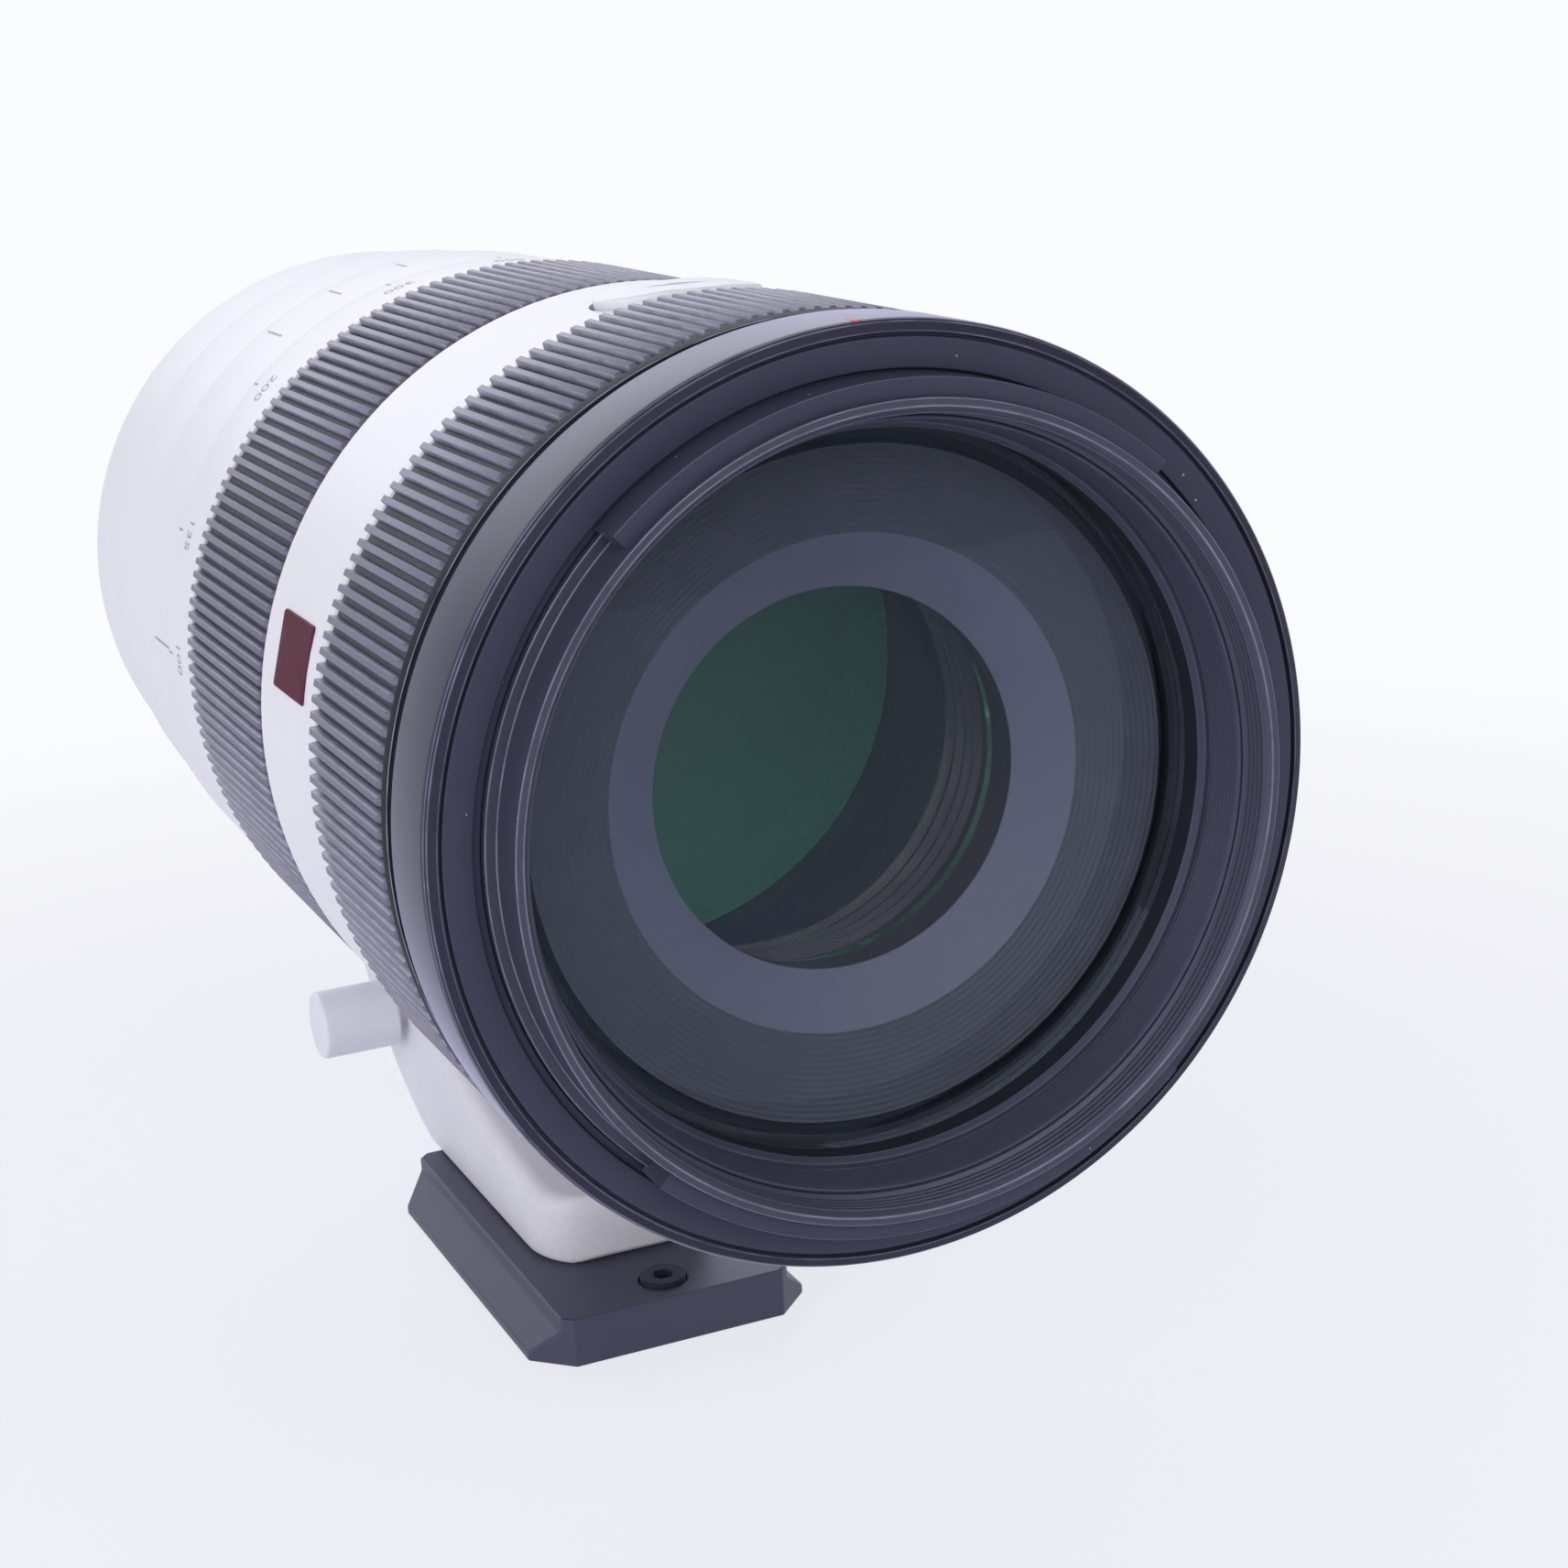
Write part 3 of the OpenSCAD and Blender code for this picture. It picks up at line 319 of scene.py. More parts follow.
def finish(name, dark, light, rough, grain, bump, edge=None, edge_strength=0.5, dust=0.0,
           speck_scale=500.0, metallic=0.0, specular=0.5, specular_tint=PLAIN, sheen=0.0):
    """Principled material: colour = mix(dark, light, grain), then the edge colour, part wear and
    part painted highlight, and dust over it. The roughness runs over the range rough, and bump is
    the height of the grain in mm."""
    material, tree, shader = new_material(name, {
        "Metallic": metallic, "Specular IOR Level": specular, "Specular Tint": rgba(specular_tint),
        "Sheen Weight": sheen, "Sheen Roughness": 0.25, "Sheen Tint": rgba(SHEEN_COLOUR)})
    fine = add(tree, "ShaderNodeGroup", node_tree=GRAIN)
    fine.inputs["Scale"].default_value = grain
    fine.inputs["Low"].default_value, fine.inputs["High"].default_value = rough
    broad = noise(tree, scale=45.0, detail=5.0)
    blend = maths(tree, "MULTIPLY", fine.outputs["Height"], broad)
    colour = mix(tree, spread(tree, blend, low=0.15, high=0.35), dark, light)
    # The edge colour on rounded corners is part wear and part painted highlight.
    if edge:
        wear_and_highlight = add(tree, "ShaderNodeGroup", node_tree=EDGE)
        wear_and_highlight.inputs["Strength"].default_value = edge_strength
        colour = mix(tree, wear_and_highlight.outputs["Mask"], colour, edge)
    if dust:
        specks = add(tree, "ShaderNodeGroup", node_tree=DUST)
        specks.inputs["Scale"].default_value = speck_scale
        specks.inputs["Speck"].default_value = dust
        colour = mix(tree, specks.outputs["Mask"], colour, DUST_COLOUR)
    tree.links.new(colour, shader.inputs["Base Color"])
    tree.links.new(fine.outputs["Value"], shader.inputs["Roughness"])
    relief = add(tree, "ShaderNodeBump", {
        "Strength": 0.35, "Distance": bump * MM, "Height": fine.outputs["Height"]})
    tree.links.new(relief.outputs["Normal"], shader.inputs["Normal"])
    return material


# %% Opaque finishes
white_paint = finish(
    "white_paint", (0.79, 0.785, 0.82), (0.82, 0.815, 0.85), (0.36, 0.44), grain=2200, bump=0.02,
    edge=(0.88, 0.88, 0.91), edge_strength=0.4)
foot_paint = finish(
    "foot_paint", (0.72, 0.71, 0.74), (0.77, 0.76, 0.79), (0.42, 0.54), grain=1300, bump=0.04,
    edge=(0.82, 0.81, 0.83))
# rib_rubber's light edge colour lies on the rib crests: a painted highlight along each rib.
rib_rubber = finish(
    "rib_rubber", (0.115, 0.115, 0.158), (0.133, 0.133, 0.180), (0.38, 0.46), grain=3200, bump=0.01,
    edge=(0.46, 0.46, 0.57), edge_strength=0.65, specular=0.8, specular_tint=COOL)
# groove_shade_rubber: darker rubber for the floor between and ahead of the ribs, painted shade in
# the grooves.
groove_shade_rubber = finish(
    "groove_shade_rubber", (0.050, 0.050, 0.074), (0.060, 0.060, 0.087), (0.52, 0.60), grain=3200,
    bump=0.01, specular=0.2)
# satin_black's lighter edge colour draws the thin light rims on the bevel: a painted highlight,
# with some wear.
satin_black = finish(
    "satin_black", (0.027, 0.027, 0.046), (0.033, 0.033, 0.054), (0.30, 0.36), grain=3200,
    bump=0.006, edge=(0.30, 0.30, 0.40), edge_strength=0.6, specular=0.08, specular_tint=COOL,
    sheen=0.9)
# rim_black's strong light edge colour is the thin light line on the rim's step: a painted
# highlight.
rim_black = finish(
    "rim_black", (0.013, 0.013, 0.022), (0.017, 0.017, 0.028), (0.50, 0.58), grain=3200, bump=0.006,
    edge=(0.42, 0.42, 0.52), edge_strength=0.9, specular=0.05)
matte_black = finish(
    "matte_black", (0.034, 0.035, 0.060), (0.040, 0.041, 0.068), (0.45, 0.53), grain=3200,
    bump=0.008, edge=(0.14, 0.14, 0.19), dust=0.045, speck_scale=420, specular=0.4,
    specular_tint=COOL)
# black_alloy's lighter edge colour draws the bright lines on the lip and shoulder: part wear, part
# painted highlight.
black_alloy = finish(
    "black_alloy", (0.036, 0.036, 0.060), (0.044, 0.044, 0.070), (0.34, 0.44), grain=2600,
    bump=0.008, edge=(0.34, 0.34, 0.40), edge_strength=0.6, dust=0.035, specular=0.6,
    specular_tint=COOL)
baffle_grey = finish(
    "baffle_grey", (0.068, 0.070, 0.115), (0.074, 0.076, 0.124), (0.50, 0.54), grain=300, bump=0.0,
    specular=0.4)
# trap_black's lighter edge colour is the thin light line on each funnel step: a painted highlight.
trap_black = finish(
    "trap_black", (0.026, 0.028, 0.046), (0.030, 0.032, 0.052), (0.50, 0.54), grain=300, bump=0.0,
    edge=(0.060, 0.062, 0.090), edge_strength=0.7, specular=0.3)
# painted_shade_black: near-black for deep grooves, painted shade where little light reaches.
painted_shade_black = finish(
    "painted_shade_black", (0.012, 0.014, 0.022), (0.015, 0.018, 0.027), (0.55, 0.60), grain=300, bump=0.0,
    specular=0.2)
# tube_brown's lighter edge colour gives the tube's rings light edges: a painted highlight.
tube_brown = finish(
    "tube_brown", (0.022, 0.018, 0.026), (0.028, 0.023, 0.032), (0.42, 0.48), grain=300, bump=0.0,
    edge=(0.085, 0.075, 0.10), edge_strength=0.8, specular=0.4)
plate_black = finish(
    "plate_black", (0.040, 0.040, 0.066), (0.048, 0.048, 0.076), (0.42, 0.50), grain=2600,
    bump=0.008, specular=0.7, specular_tint=COOL)
steel = finish(
    "steel", (0.66, 0.66, 0.68), (0.71, 0.71, 0.73), (0.28, 0.32), grain=2600, bump=0.004,
    edge=(0.85, 0.85, 0.87), metallic=1.0)
gold_plate = finish(
    "gold_plate", (0.74, 0.55, 0.22), (0.85, 0.68, 0.32), (0.22, 0.32), grain=1200, bump=0.01,
    metallic=1.0)
board_green = finish(
    "board_green", (0.03, 0.14, 0.07), (0.05, 0.20, 0.10), (0.35, 0.5), grain=700, bump=0.03)
blade_film = finish(
    "blade_film", (0.018, 0.018, 0.022), (0.03, 0.03, 0.036), (0.4, 0.5), grain=1700, bump=0.01)
badge_enamel = finish(
    "badge_enamel", (0.085, 0.010, 0.030), (0.090, 0.014, 0.027), (0.50, 0.58), grain=300, bump=0.0,
    edge=(0.15, 0.05, 0.07), specular=0.08)
index_red = finish(
    "index_red", (0.50, 0.03, 0.03), (0.62, 0.06, 0.05), (0.4, 0.5), grain=900, bump=0.005)
scale_ink = finish(
    "scale_ink", (0.30, 0.30, 0.34), (0.36, 0.36, 0.40), (0.45, 0.55), grain=900, bump=0.005)
print("floor and opaque finishes:", len(bpy.data.materials))


# %% [markdown]
# ## Coated glass
# Lens glass is clear, with a coating that turns its weak reflection green or violet. A solid with a
# front and a back face refracts as the real element does. The tint sits on the Principled shader's
# own specular sockets, and the base colour varies a little because a coating is never quite even.
# One element is partly a diffuse green surface, a painted reflection of its coating, which shows as
# the green glint deep in the barrel.

# %% Glass finish
def coated_glass(name, clear, cloudy, reflection, through=1.0):
    """Principled glass. The specular tint scales its own four per cent of reflection down. What
    through leaves of the light is a diffuse surface in the glass's own colour, a painted
    reflection."""
    material, tree, shader = new_material(name, {
        "Roughness": 0.0, "IOR": 1.5, "Transmission Weight": through,
        "Specular Tint": rgba(reflection)})
    tint = mix(tree, noise(tree, scale=30.0, detail=2.0), clear, cloudy)
    tree.links.new(tint, shader.inputs["Base Color"])
    return material


front_coating = coated_glass(
    "front_coating", (0.95, 0.97, 0.98), (0.93, 0.96, 0.97), (0.15, 0.20, 0.30))
# Green glass: 40 per cent diffuse green, a painted reflection of its coating.
green_painted_reflection = coated_glass(
    "green_painted_reflection", (0.16, 0.40, 0.30), (0.13, 0.36, 0.27), (0.32, 0.90, 0.68), through=0.6)
violet_coating = coated_glass(
    "violet_coating", (0.90, 0.90, 0.96), (0.88, 0.88, 0.95), (0.45, 0.25, 0.55))
clear_coating = coated_glass(
    "clear_coating", (0.97, 0.98, 0.97), (0.96, 0.98, 0.97), (0.03, 0.06, 0.05))
print("finishes with glass:", len(bpy.data.materials))

# %% [markdown]
# ## Turned surfaces
# Nearly all of a lens barrel is turned: a profile of radius and length goes once around the optical
# axis. A modifier could spin the profile, but working out all points as one array is as short, and
# it lets the same function take profiles whose corners were softened first. Softening cuts each
# corner back a little on both sides and bridges the cut with a parabola, as a deburred edge is.

# %% Turned surface helpers
AXIS_H, FLANGE_Y = 85.4, 102.2
CORNER_STEPS, RING_STEPS = 5, 320


def along_lens(x, y, z):
    """Lens coordinates in mm to the frame in metres: z runs forward from the flange (-Y), y up."""
    x, y, z = np.broadcast_arrays(x, y, z)
    return np.stack([x, FLANGE_Y - z, AXIS_H + y], axis=-1) * MM


def soften(points, cut):
    """Replaces each corner B by the parabola (1-s)^2 A + 2s(1-s) B + s^2 C, with A and C cut back
    along the sides. Returns the new profile and how near each point is to a corner's middle."""
    corner = np.asarray(points, float)
    to_last, to_next = np.roll(corner, 1, 0) - corner, np.roll(corner, -1, 0) - corner
    long_last, long_next = (
        np.linalg.norm(v, axis=1, keepdims=True) for v in (to_last, to_next))
    a = corner + to_last / long_last * np.minimum(cut, 0.4 * long_last)
    c = corner + to_next / long_next * np.minimum(cut, 0.4 * long_next)
    s = np.linspace(0, 1, CORNER_STEPS)[None, :, None]
    curve = (1 - s) ** 2 * a[:, None] + 2 * s * (1 - s) * corner[:, None] + s ** 2 * c[:, None]
    nearness = np.tile(1 - np.abs(2 * s.ravel() - 1), len(corner))
    return curve.reshape(-1, 2), nearness


def surface(name, points, faces, material, edge=None, sharp=40):
    """Mesh object at the origin from an array of points and arrays of faces. The signed volume
    tells whether the faces have to be turned to look outward."""
    points = points.reshape(-1, 3)
    volume = 0.0
    for group in faces:
        first = points[group[:, 0]]
        for k in range(1, group.shape[1] - 1):
            second, third = points[group[:, k]], points[group[:, k + 1]]
            volume += np.einsum("ij,ij->", first, np.cross(second, third))
    turn = slice(None, None, -1 if volume < 0 else 1)
    mesh = bpy.data.meshes.new(name)
    mesh.from_pydata(
        points.tolist(), [], [face for group in faces for face in group[:, turn].tolist()])
    mesh.shade_smooth()
    mesh.set_sharp_from_angle(angle=math.radians(sharp))
    if edge is not None:
        values = np.ascontiguousarray(edge, float).ravel()
        mesh.attributes.new("edge", "FLOAT", "POINT").data.foreach_set("value", values)
    mesh.materials.append(material)
    piece = bpy.data.objects.new(name, mesh)
    scene.collection.objects.link(piece)
    return piece


def fans(count, steps):
    """Triangles that close a stack of rings, count points in all, at the two poles after them."""
    first = np.arange(steps)
    last, pole = count - steps + first, np.full(steps, count)
    low = np.stack([pole, np.roll(first, -1), first], axis=-1)
    high = np.stack([pole + 1, last, np.roll(last, -1)], axis=-1)
    return low, high


def turned_ring(name, profile, material, cut, worn_and_lit=None):
    """Ring: profile point (r, z) at angle a lies at (r cos a, r sin a, z). Only corners in
    worn_and_lit get the lighter edge colour, part wear and part painted highlight, or all of them
    where none are named."""
    line, near = soften(profile, cut)
    if worn_and_lit is not None:
        near = near * np.repeat(np.isin(np.arange(len(profile)), worn_and_lit), CORNER_STEPS)
    a = np.linspace(0, 2 * np.pi, RING_STEPS, endpoint=False)
    r, z = line[:, :1], line[:, 1:]
    points = along_lens(r * np.cos(a), r * np.sin(a), z)
    faces = quad_grid(len(line), RING_STEPS, True, True)
    return surface(name, points, [faces], material, np.repeat(near, RING_STEPS))


def turned_solid(name, profile, material, steps, place=along_lens, near=None):
    """Solid: as a ring, but the profile starts and ends on the axis, where fans of triangles close
    it."""
    line = np.asarray(profile, float)
    a = np.linspace(0, 2 * np.pi, steps, endpoint=False)
    r, z = line[1:-1, :1], line[1:-1, 1:]
    rings = place(r * np.cos(a), r * np.sin(a), z).reshape(-1, 3)
    poles = place(0, 0, line[[0, -1], 1])
    faces = [quad_grid(len(line) - 2, steps, False, True), *fans(len(rings), steps)]
    edge = None if near is None else np.concatenate([np.repeat(near[1:-1], steps), [0, 0]])
    return surface(name, np.concatenate([rings, poles]), faces, material, edge)


def turned_part(name, profile, a0, a1, material, cut, steps):
    """Part of a ring between two angles in degrees, with flat ends."""
    line, near = soften(profile, cut)
    a = np.radians(np.linspace(a0, a1, steps))
    r, z = line[:, :1], line[:, 1:]
    points = along_lens(r * np.cos(a), r * np.sin(a), z)
    rows = np.arange(len(line)) * steps
    ends = [rows[None, ::-1], rows[None, :] + steps - 1]
    faces = quad_grid(len(line), steps, True, False)
    return surface(name, points, [faces, *ends], material, np.repeat(near, steps))


def paint_where(piece, material, test):
    """Gives the faces whose centre passes the test on (radius, length), in mm, a new material."""
    mesh = piece.data
    mesh.materials.append(material)
    count = len(mesh.polygons)
    centre, index = np.empty(count * 3), np.empty(count, np.int32)
    mesh.polygons.foreach_get("center", centre)
    mesh.polygons.foreach_get("material_index", index)
    x, y, z = centre.reshape(-1, 3).T / MM
    index[test(np.hypot(x, z - AXIS_H), FLANGE_Y - y)] = len(mesh.materials) - 1
    mesh.polygons.foreach_set("material_index", index)


def dress(piece, body, slot, *replaced):
    """Rides a piece on its body and hides the solids that it stands for. The slot is not used."""
    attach(piece, body)
    if replaced:
        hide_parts(*replaced)
    print(piece.name, "faces:", len(piece.data.polygons), "for", replaced or "a new detail")


# %% [markdown]
# ## Front ring
# The black front ring has a satin skirt, a narrow bevel that catches the light, a thin groove and a
# matte face around the filter rim. It is one turned profile. The face is matte while the skirt is
# satin, so the faces inside the groove get a second material by their radius.

# %% Front ring
FACE = 199.95
FRONT_R, BEVEL_R, GROOVE_R, FRONT_BORE, LEDGE_R = 46.45, 45.2, 44.8, 41.85, 41.0
LEDGE_Z, GROOVE_Z, SEAT_Z, BEZEL_END = FACE - 0.6, FACE - 0.7, FACE - 2.5, FACE - 10.3
SKIRT_BORE = FRONT_R - 1.75
ROUND_ACROSS, ROUND_BACK, ROUND_TOP = 0.6, 0.95, FACE - 0.2
BEVEL_CORNERS = [7, 9, 10]
turn = np.linspace(0, np.pi / 2, 4)
rounding = np.stack([
    FRONT_R - ROUND_ACROSS + ROUND_ACROSS * np.sin(turn),
    ROUND_TOP - ROUND_BACK * (1 - np.cos(turn))], axis=-1)
# The bevel's corners (BEVEL_CORNERS) get that lighter edge colour: painted highlight with some
# wear.
bezel = turned_ring("bezel", [
    (LEDGE_R, SEAT_Z), (LEDGE_R, LEDGE_Z), (FRONT_BORE, LEDGE_Z), (FRONT_BORE, FACE),
    (GROOVE_R, FACE), (GROOVE_R, GROOVE_Z), (BEVEL_R, GROOVE_Z), (BEVEL_R, FACE + 0.1), *rounding,
    (FRONT_R, BEZEL_END), (SKIRT_BORE, BEZEL_END), (SKIRT_BORE, SEAT_Z)],
    satin_black, cut=0.2, worn_and_lit=BEVEL_CORNERS)
paint_where(bezel, matte_black, lambda r, z: r < GROOVE_R + 0.2)
dress(bezel, "front", "black_plastic", "front_ring")

# %% [markdown]
# ## Filter rim and hood tabs
# The rim stands ahead of the front ring, with a low shoulder at its foot and a dark gap around it.
# Inside it has the fine filter thread, which shows as a stack of thin rings, so its profile has a
# tooth for each turn. A true helix would look the same at this pitch. Two wide tabs on its outside
# hold the hood.

# %% Filter rim
LIP = FACE + 5.45
RIM_R, RIM_BORE, RIM_END = 39.8, 37.85, FACE - 17.4
SHOULDER_R, SHOULDER_Z = 40.95, FACE + 0.35
BASE_R, BASE_Z0, BASE_Z1 = 43.55, FACE - 4.55, FACE - 2.55
THREAD_R, THREAD_END, PITCH, TURNS = 38.5, LIP - 3.6, 0.75, 4
THREAD_SHARE = np.array([0.0, 0.12, 0.5, 0.62])
THREAD_RISE = np.array([0.0, 0.25, 0.25, 0.0])
thread_z = LIP - 0.55 - PITCH * (np.arange(TURNS)[:, None] + THREAD_SHARE)
thread_r = THREAD_R - THREAD_RISE + 0 * thread_z
rim_profile = np.concatenate([
    [(RIM_R, LIP), (THREAD_R + 0.5, LIP), (THREAD_R, LIP - 0.5)],
    np.stack([thread_r, thread_z], axis=-1).reshape(-1, 2),
    [(RIM_BORE, THREAD_END), (RIM_BORE, RIM_END), (RIM_R, RIM_END), (RIM_R, BASE_Z0),
     (BASE_R, BASE_Z0), (BASE_R, BASE_Z1), (SHOULDER_R, BASE_Z1),
     (SHOULDER_R, SHOULDER_Z), (RIM_R, SHOULDER_Z)]])
# The lip and shoulder corners get the lighter edge colour: part wear, part painted highlight.
lip_and_shoulder = [0, 1, len(rim_profile) - 2, len(rim_profile) - 1]
filter_rim = turned_ring("filter_rim", rim_profile, black_alloy, cut=0.16, worn_and_lit=lip_and_shoulder)
dress(filter_rim, "front", "black_alloy", "filter_ring")
TAB_FOOT, TAB_R, TAB_HALF, TAB_Z0, TAB_Z1 = RIM_R - 0.4, 41.6, 42.3, FACE - 0.3, LIP - 1.0
for side, middle in (("top", 90), ("bottom", 270)):
    tab = turned_part("hood_tab_" + side, [
        (TAB_FOOT, TAB_Z0), (TAB_R, TAB_Z0), (TAB_R, TAB_Z1), (TAB_FOOT, TAB_Z1)],
        middle - TAB_HALF, middle + TAB_HALF, matte_black, cut=0.15, steps=64)
    dress(tab, "front", "black_alloy")

# %% [markdown]
# ## Retaining ring
# Behind the thread, a black ring leads down to the glass and holds it: fine steps that kill stray
# light, a groove by the glass painted near-black as painted shade, and a rounded nose on the glass.
# The steps are real teeth in the profile, because bump alone would leave the edge of each step
# without its thin line of light. Their lighter edge colour adds a painted highlight to that line.

# %% Retaining ring
GLASS_Z = FACE - 6.25
TEETH, TOOTH_H, TEETH_TAPER = 8, 0.3, 0.3
TEETH_R, NECK_R, NOSE_R, RETAINER_R = 37.2, 36.6, 36.05, 37.8
TEETH_Z0, TEETH_Z1, NOSE_Z = THREAD_END - 0.05, GLASS_Z + 3.6, GLASS_Z + 0.05
tooth = np.linspace(0, 1, TEETH + 1)
tooth_r = TEETH_R - TEETH_TAPER * tooth
tooth_z = TEETH_Z0 + (TEETH_Z1 - TEETH_Z0) * tooth
tooth_front = np.stack([tooth_r[:-1] + TOOTH_H, tooth_z[:-1]], axis=-1)
tooth_back = np.stack([tooth_r[1:], tooth_z[:-1] + 0.8 * np.diff(tooth_z)], axis=-1)
retainer_cone = turned_ring("retainer_cone", np.concatenate([
    np.stack([tooth_front, tooth_back], axis=1).reshape(-1, 2),
    [(TEETH_R, TEETH_Z1), (TEETH_R, TEETH_Z1 - 0.5), (NECK_R, TEETH_Z1 - 0.5),
     (NOSE_R, TEETH_Z1 - 1.0), (NOSE_R, NOSE_Z), (RETAINER_R, NOSE_Z), (RETAINER_R, TEETH_Z0)]]),
    matte_black, cut=0.12)
# The faces at the nose are painted near-black: painted shade in the groove by the glass.
paint_where(retainer_cone, painted_shade_black, lambda r, z: (r < NOSE_R + 0.25) & (z < TEETH_Z1 - 1.2))
dress(retainer_cone, "front", "black_plastic", "front_retainer")


# %% [markdown]
# ## Lens elements
# A lens face is part of a sphere. Each element is a turned solid whose two caps are arcs, with
# enough rings that the refracted picture behind it stays smooth.

# %% Lens elements
def lens_element(name, r, rear_z, front_z, rear_sag, front_sag, material):
    """Each cap bulges by sqrt(R^2 - q^2) - R + sag at distance q from the axis, with the sphere's
    radius R = (r^2 + sag^2) / (2 sag). A cap without sag is flat."""
    q = r * np.sin(np.linspace(0, np.pi / 2, 28))

    def bulge(sag):
        if sag == 0:
            return 0 * q
        ball = (r * r + sag * sag) / (2 * sag)
        return np.sqrt(ball ** 2 - q ** 2) - ball + sag
    rear = np.stack([q, rear_z - bulge(rear_sag)], axis=-1)
    front = np.stack([q, front_z + bulge(front_sag)], axis=-1)[::-1]
    element = turned_solid(name, np.concatenate([rear, front]), material, steps=160)
    element.visible_shadow = False
    return element


BAFFLE_Z = GLASS_Z - 3.2
SKIRT_END = BAFFLE_Z - 16
front_glass = lens_element(
    "front_glass", r=36.3, rear_z=GLASS_Z - 3.0, front_z=GLASS_Z, rear_sag=0.0, front_sag=3.2,
    material=front_coating)
dress(front_glass, "front", "lens_glass", "front_element")
inner_glass = lens_element(
    "inner_glass", r=19.6, rear_z=SKIRT_END + 2, front_z=SKIRT_END + 5, rear_sag=1.2,
    front_sag=2.4, material=clear_coating)
dress(inner_glass, "front", "lens_glass", "second_element")

# %% [markdown]
# ## Baffle behind the glass
# Through the glass one sees a dark groove, a wide funnel of fine steps, a smooth grey cone, and an
# opening with a long ringed tube behind it, at whose end the next glass glints green, a painted
# reflection. All of it is one turned profile, and the faces get their finish by where they lie:
# near-black in the groove as painted shade, grey on the cone, a warm black in the tube. The edges
# of the funnel's steps and of the tube's rings are lighter, a painted highlight.

# %% Baffle
STEPS, RINGS, SHEET, RING_H = 14, 4, 1.4, 0.9
BAFFLE_R, GROOVE_OUT, FUNNEL_R, CONE_R, HOLE_R = 36.35, 35.1, 33.8, 24.8, 18.9
TUBE_R, TUBE_OUT = 19.7, 21.1
BAFFLE_END, CONE_Z = BAFFLE_Z - 7, BAFFLE_Z - 2.1
HOLE_Z = CONE_Z - 3.2
TUBE_Z, RINGS_Z, TUBE_END = HOLE_Z - SHEET, SKIRT_END - 0.5, SKIRT_END - 13.5
step = np.linspace(0, 1, STEPS + 1)
step_r = FUNNEL_R + (CONE_R - FUNNEL_R) * step
step_z = BAFFLE_Z + (CONE_Z - BAFFLE_Z) * step
funnel = np.stack([
    np.stack([step_r[:-1], step_z[:-1]], axis=-1),
    np.stack([step_r[:-1] - 0.2, step_z[1:]], axis=-1)], axis=1)
ring_pitch = (RINGS_Z - TUBE_END) / RINGS
ring_z = RINGS_Z - ring_pitch * (np.arange(RINGS)[:, None] + np.array([0.0, 0.15, 0.3, 0.45]))
ring_r = TUBE_R - RING_H * np.array([0, 1, 1, 0]) + 0 * ring_z
tube = np.stack([ring_r, ring_z], axis=-1)
light_baffle = turned_ring("light_baffle", np.concatenate([
    [(BAFFLE_R, BAFFLE_Z), (GROOVE_OUT, BAFFLE_Z), (GROOVE_OUT, CONE_Z), (FUNNEL_R, CONE_Z)],
    funnel.reshape(-1, 2),
    [(CONE_R, CONE_Z), (HOLE_R, HOLE_Z), (HOLE_R, TUBE_Z), (TUBE_R, TUBE_Z - 0.4)],
    tube.reshape(-1, 2),
    [(TUBE_R, TUBE_END), (TUBE_OUT, TUBE_END), (TUBE_OUT, TUBE_Z), (FUNNEL_R, CONE_Z - SHEET),
     (GROOVE_OUT, CONE_Z - SHEET), (GROOVE_OUT, BAFFLE_END), (BAFFLE_R, BAFFLE_END)]]),
    trap_black, cut=0.08)
# The groove around the funnel is painted near-black: painted shade.
paint_where(light_baffle, painted_shade_black, lambda r, z: (r > FUNNEL_R) & (z > CONE_Z - 1.0))
paint_where(light_baffle, baffle_grey,
            lambda r, z: (r < CONE_R) & (r > HOLE_R + 0.1) & (z > HOLE_Z))
# The tube's ring edges get tube_brown's lighter edge colour: a painted highlight.
paint_where(light_baffle, tube_brown, lambda r, z: (r < TUBE_R + 0.8) & (z < HOLE_Z - 0.3))
dress(light_baffle, "front", "black_plastic", "front_baffle")


# %% [markdown]
# ## Ribbed grips
# The two rubber grips carry straight ribs with flat tops and steep sides, whose front ends slope
# down to the floor between them. A modifier could repeat one rib, but a radius written over angle
# and length makes the whole grip one closed skin. Ahead of the focus grip's ribs runs a dark,
# stepped rim.

# %% Grips
RIBS, RIB_H = 176, 0.85


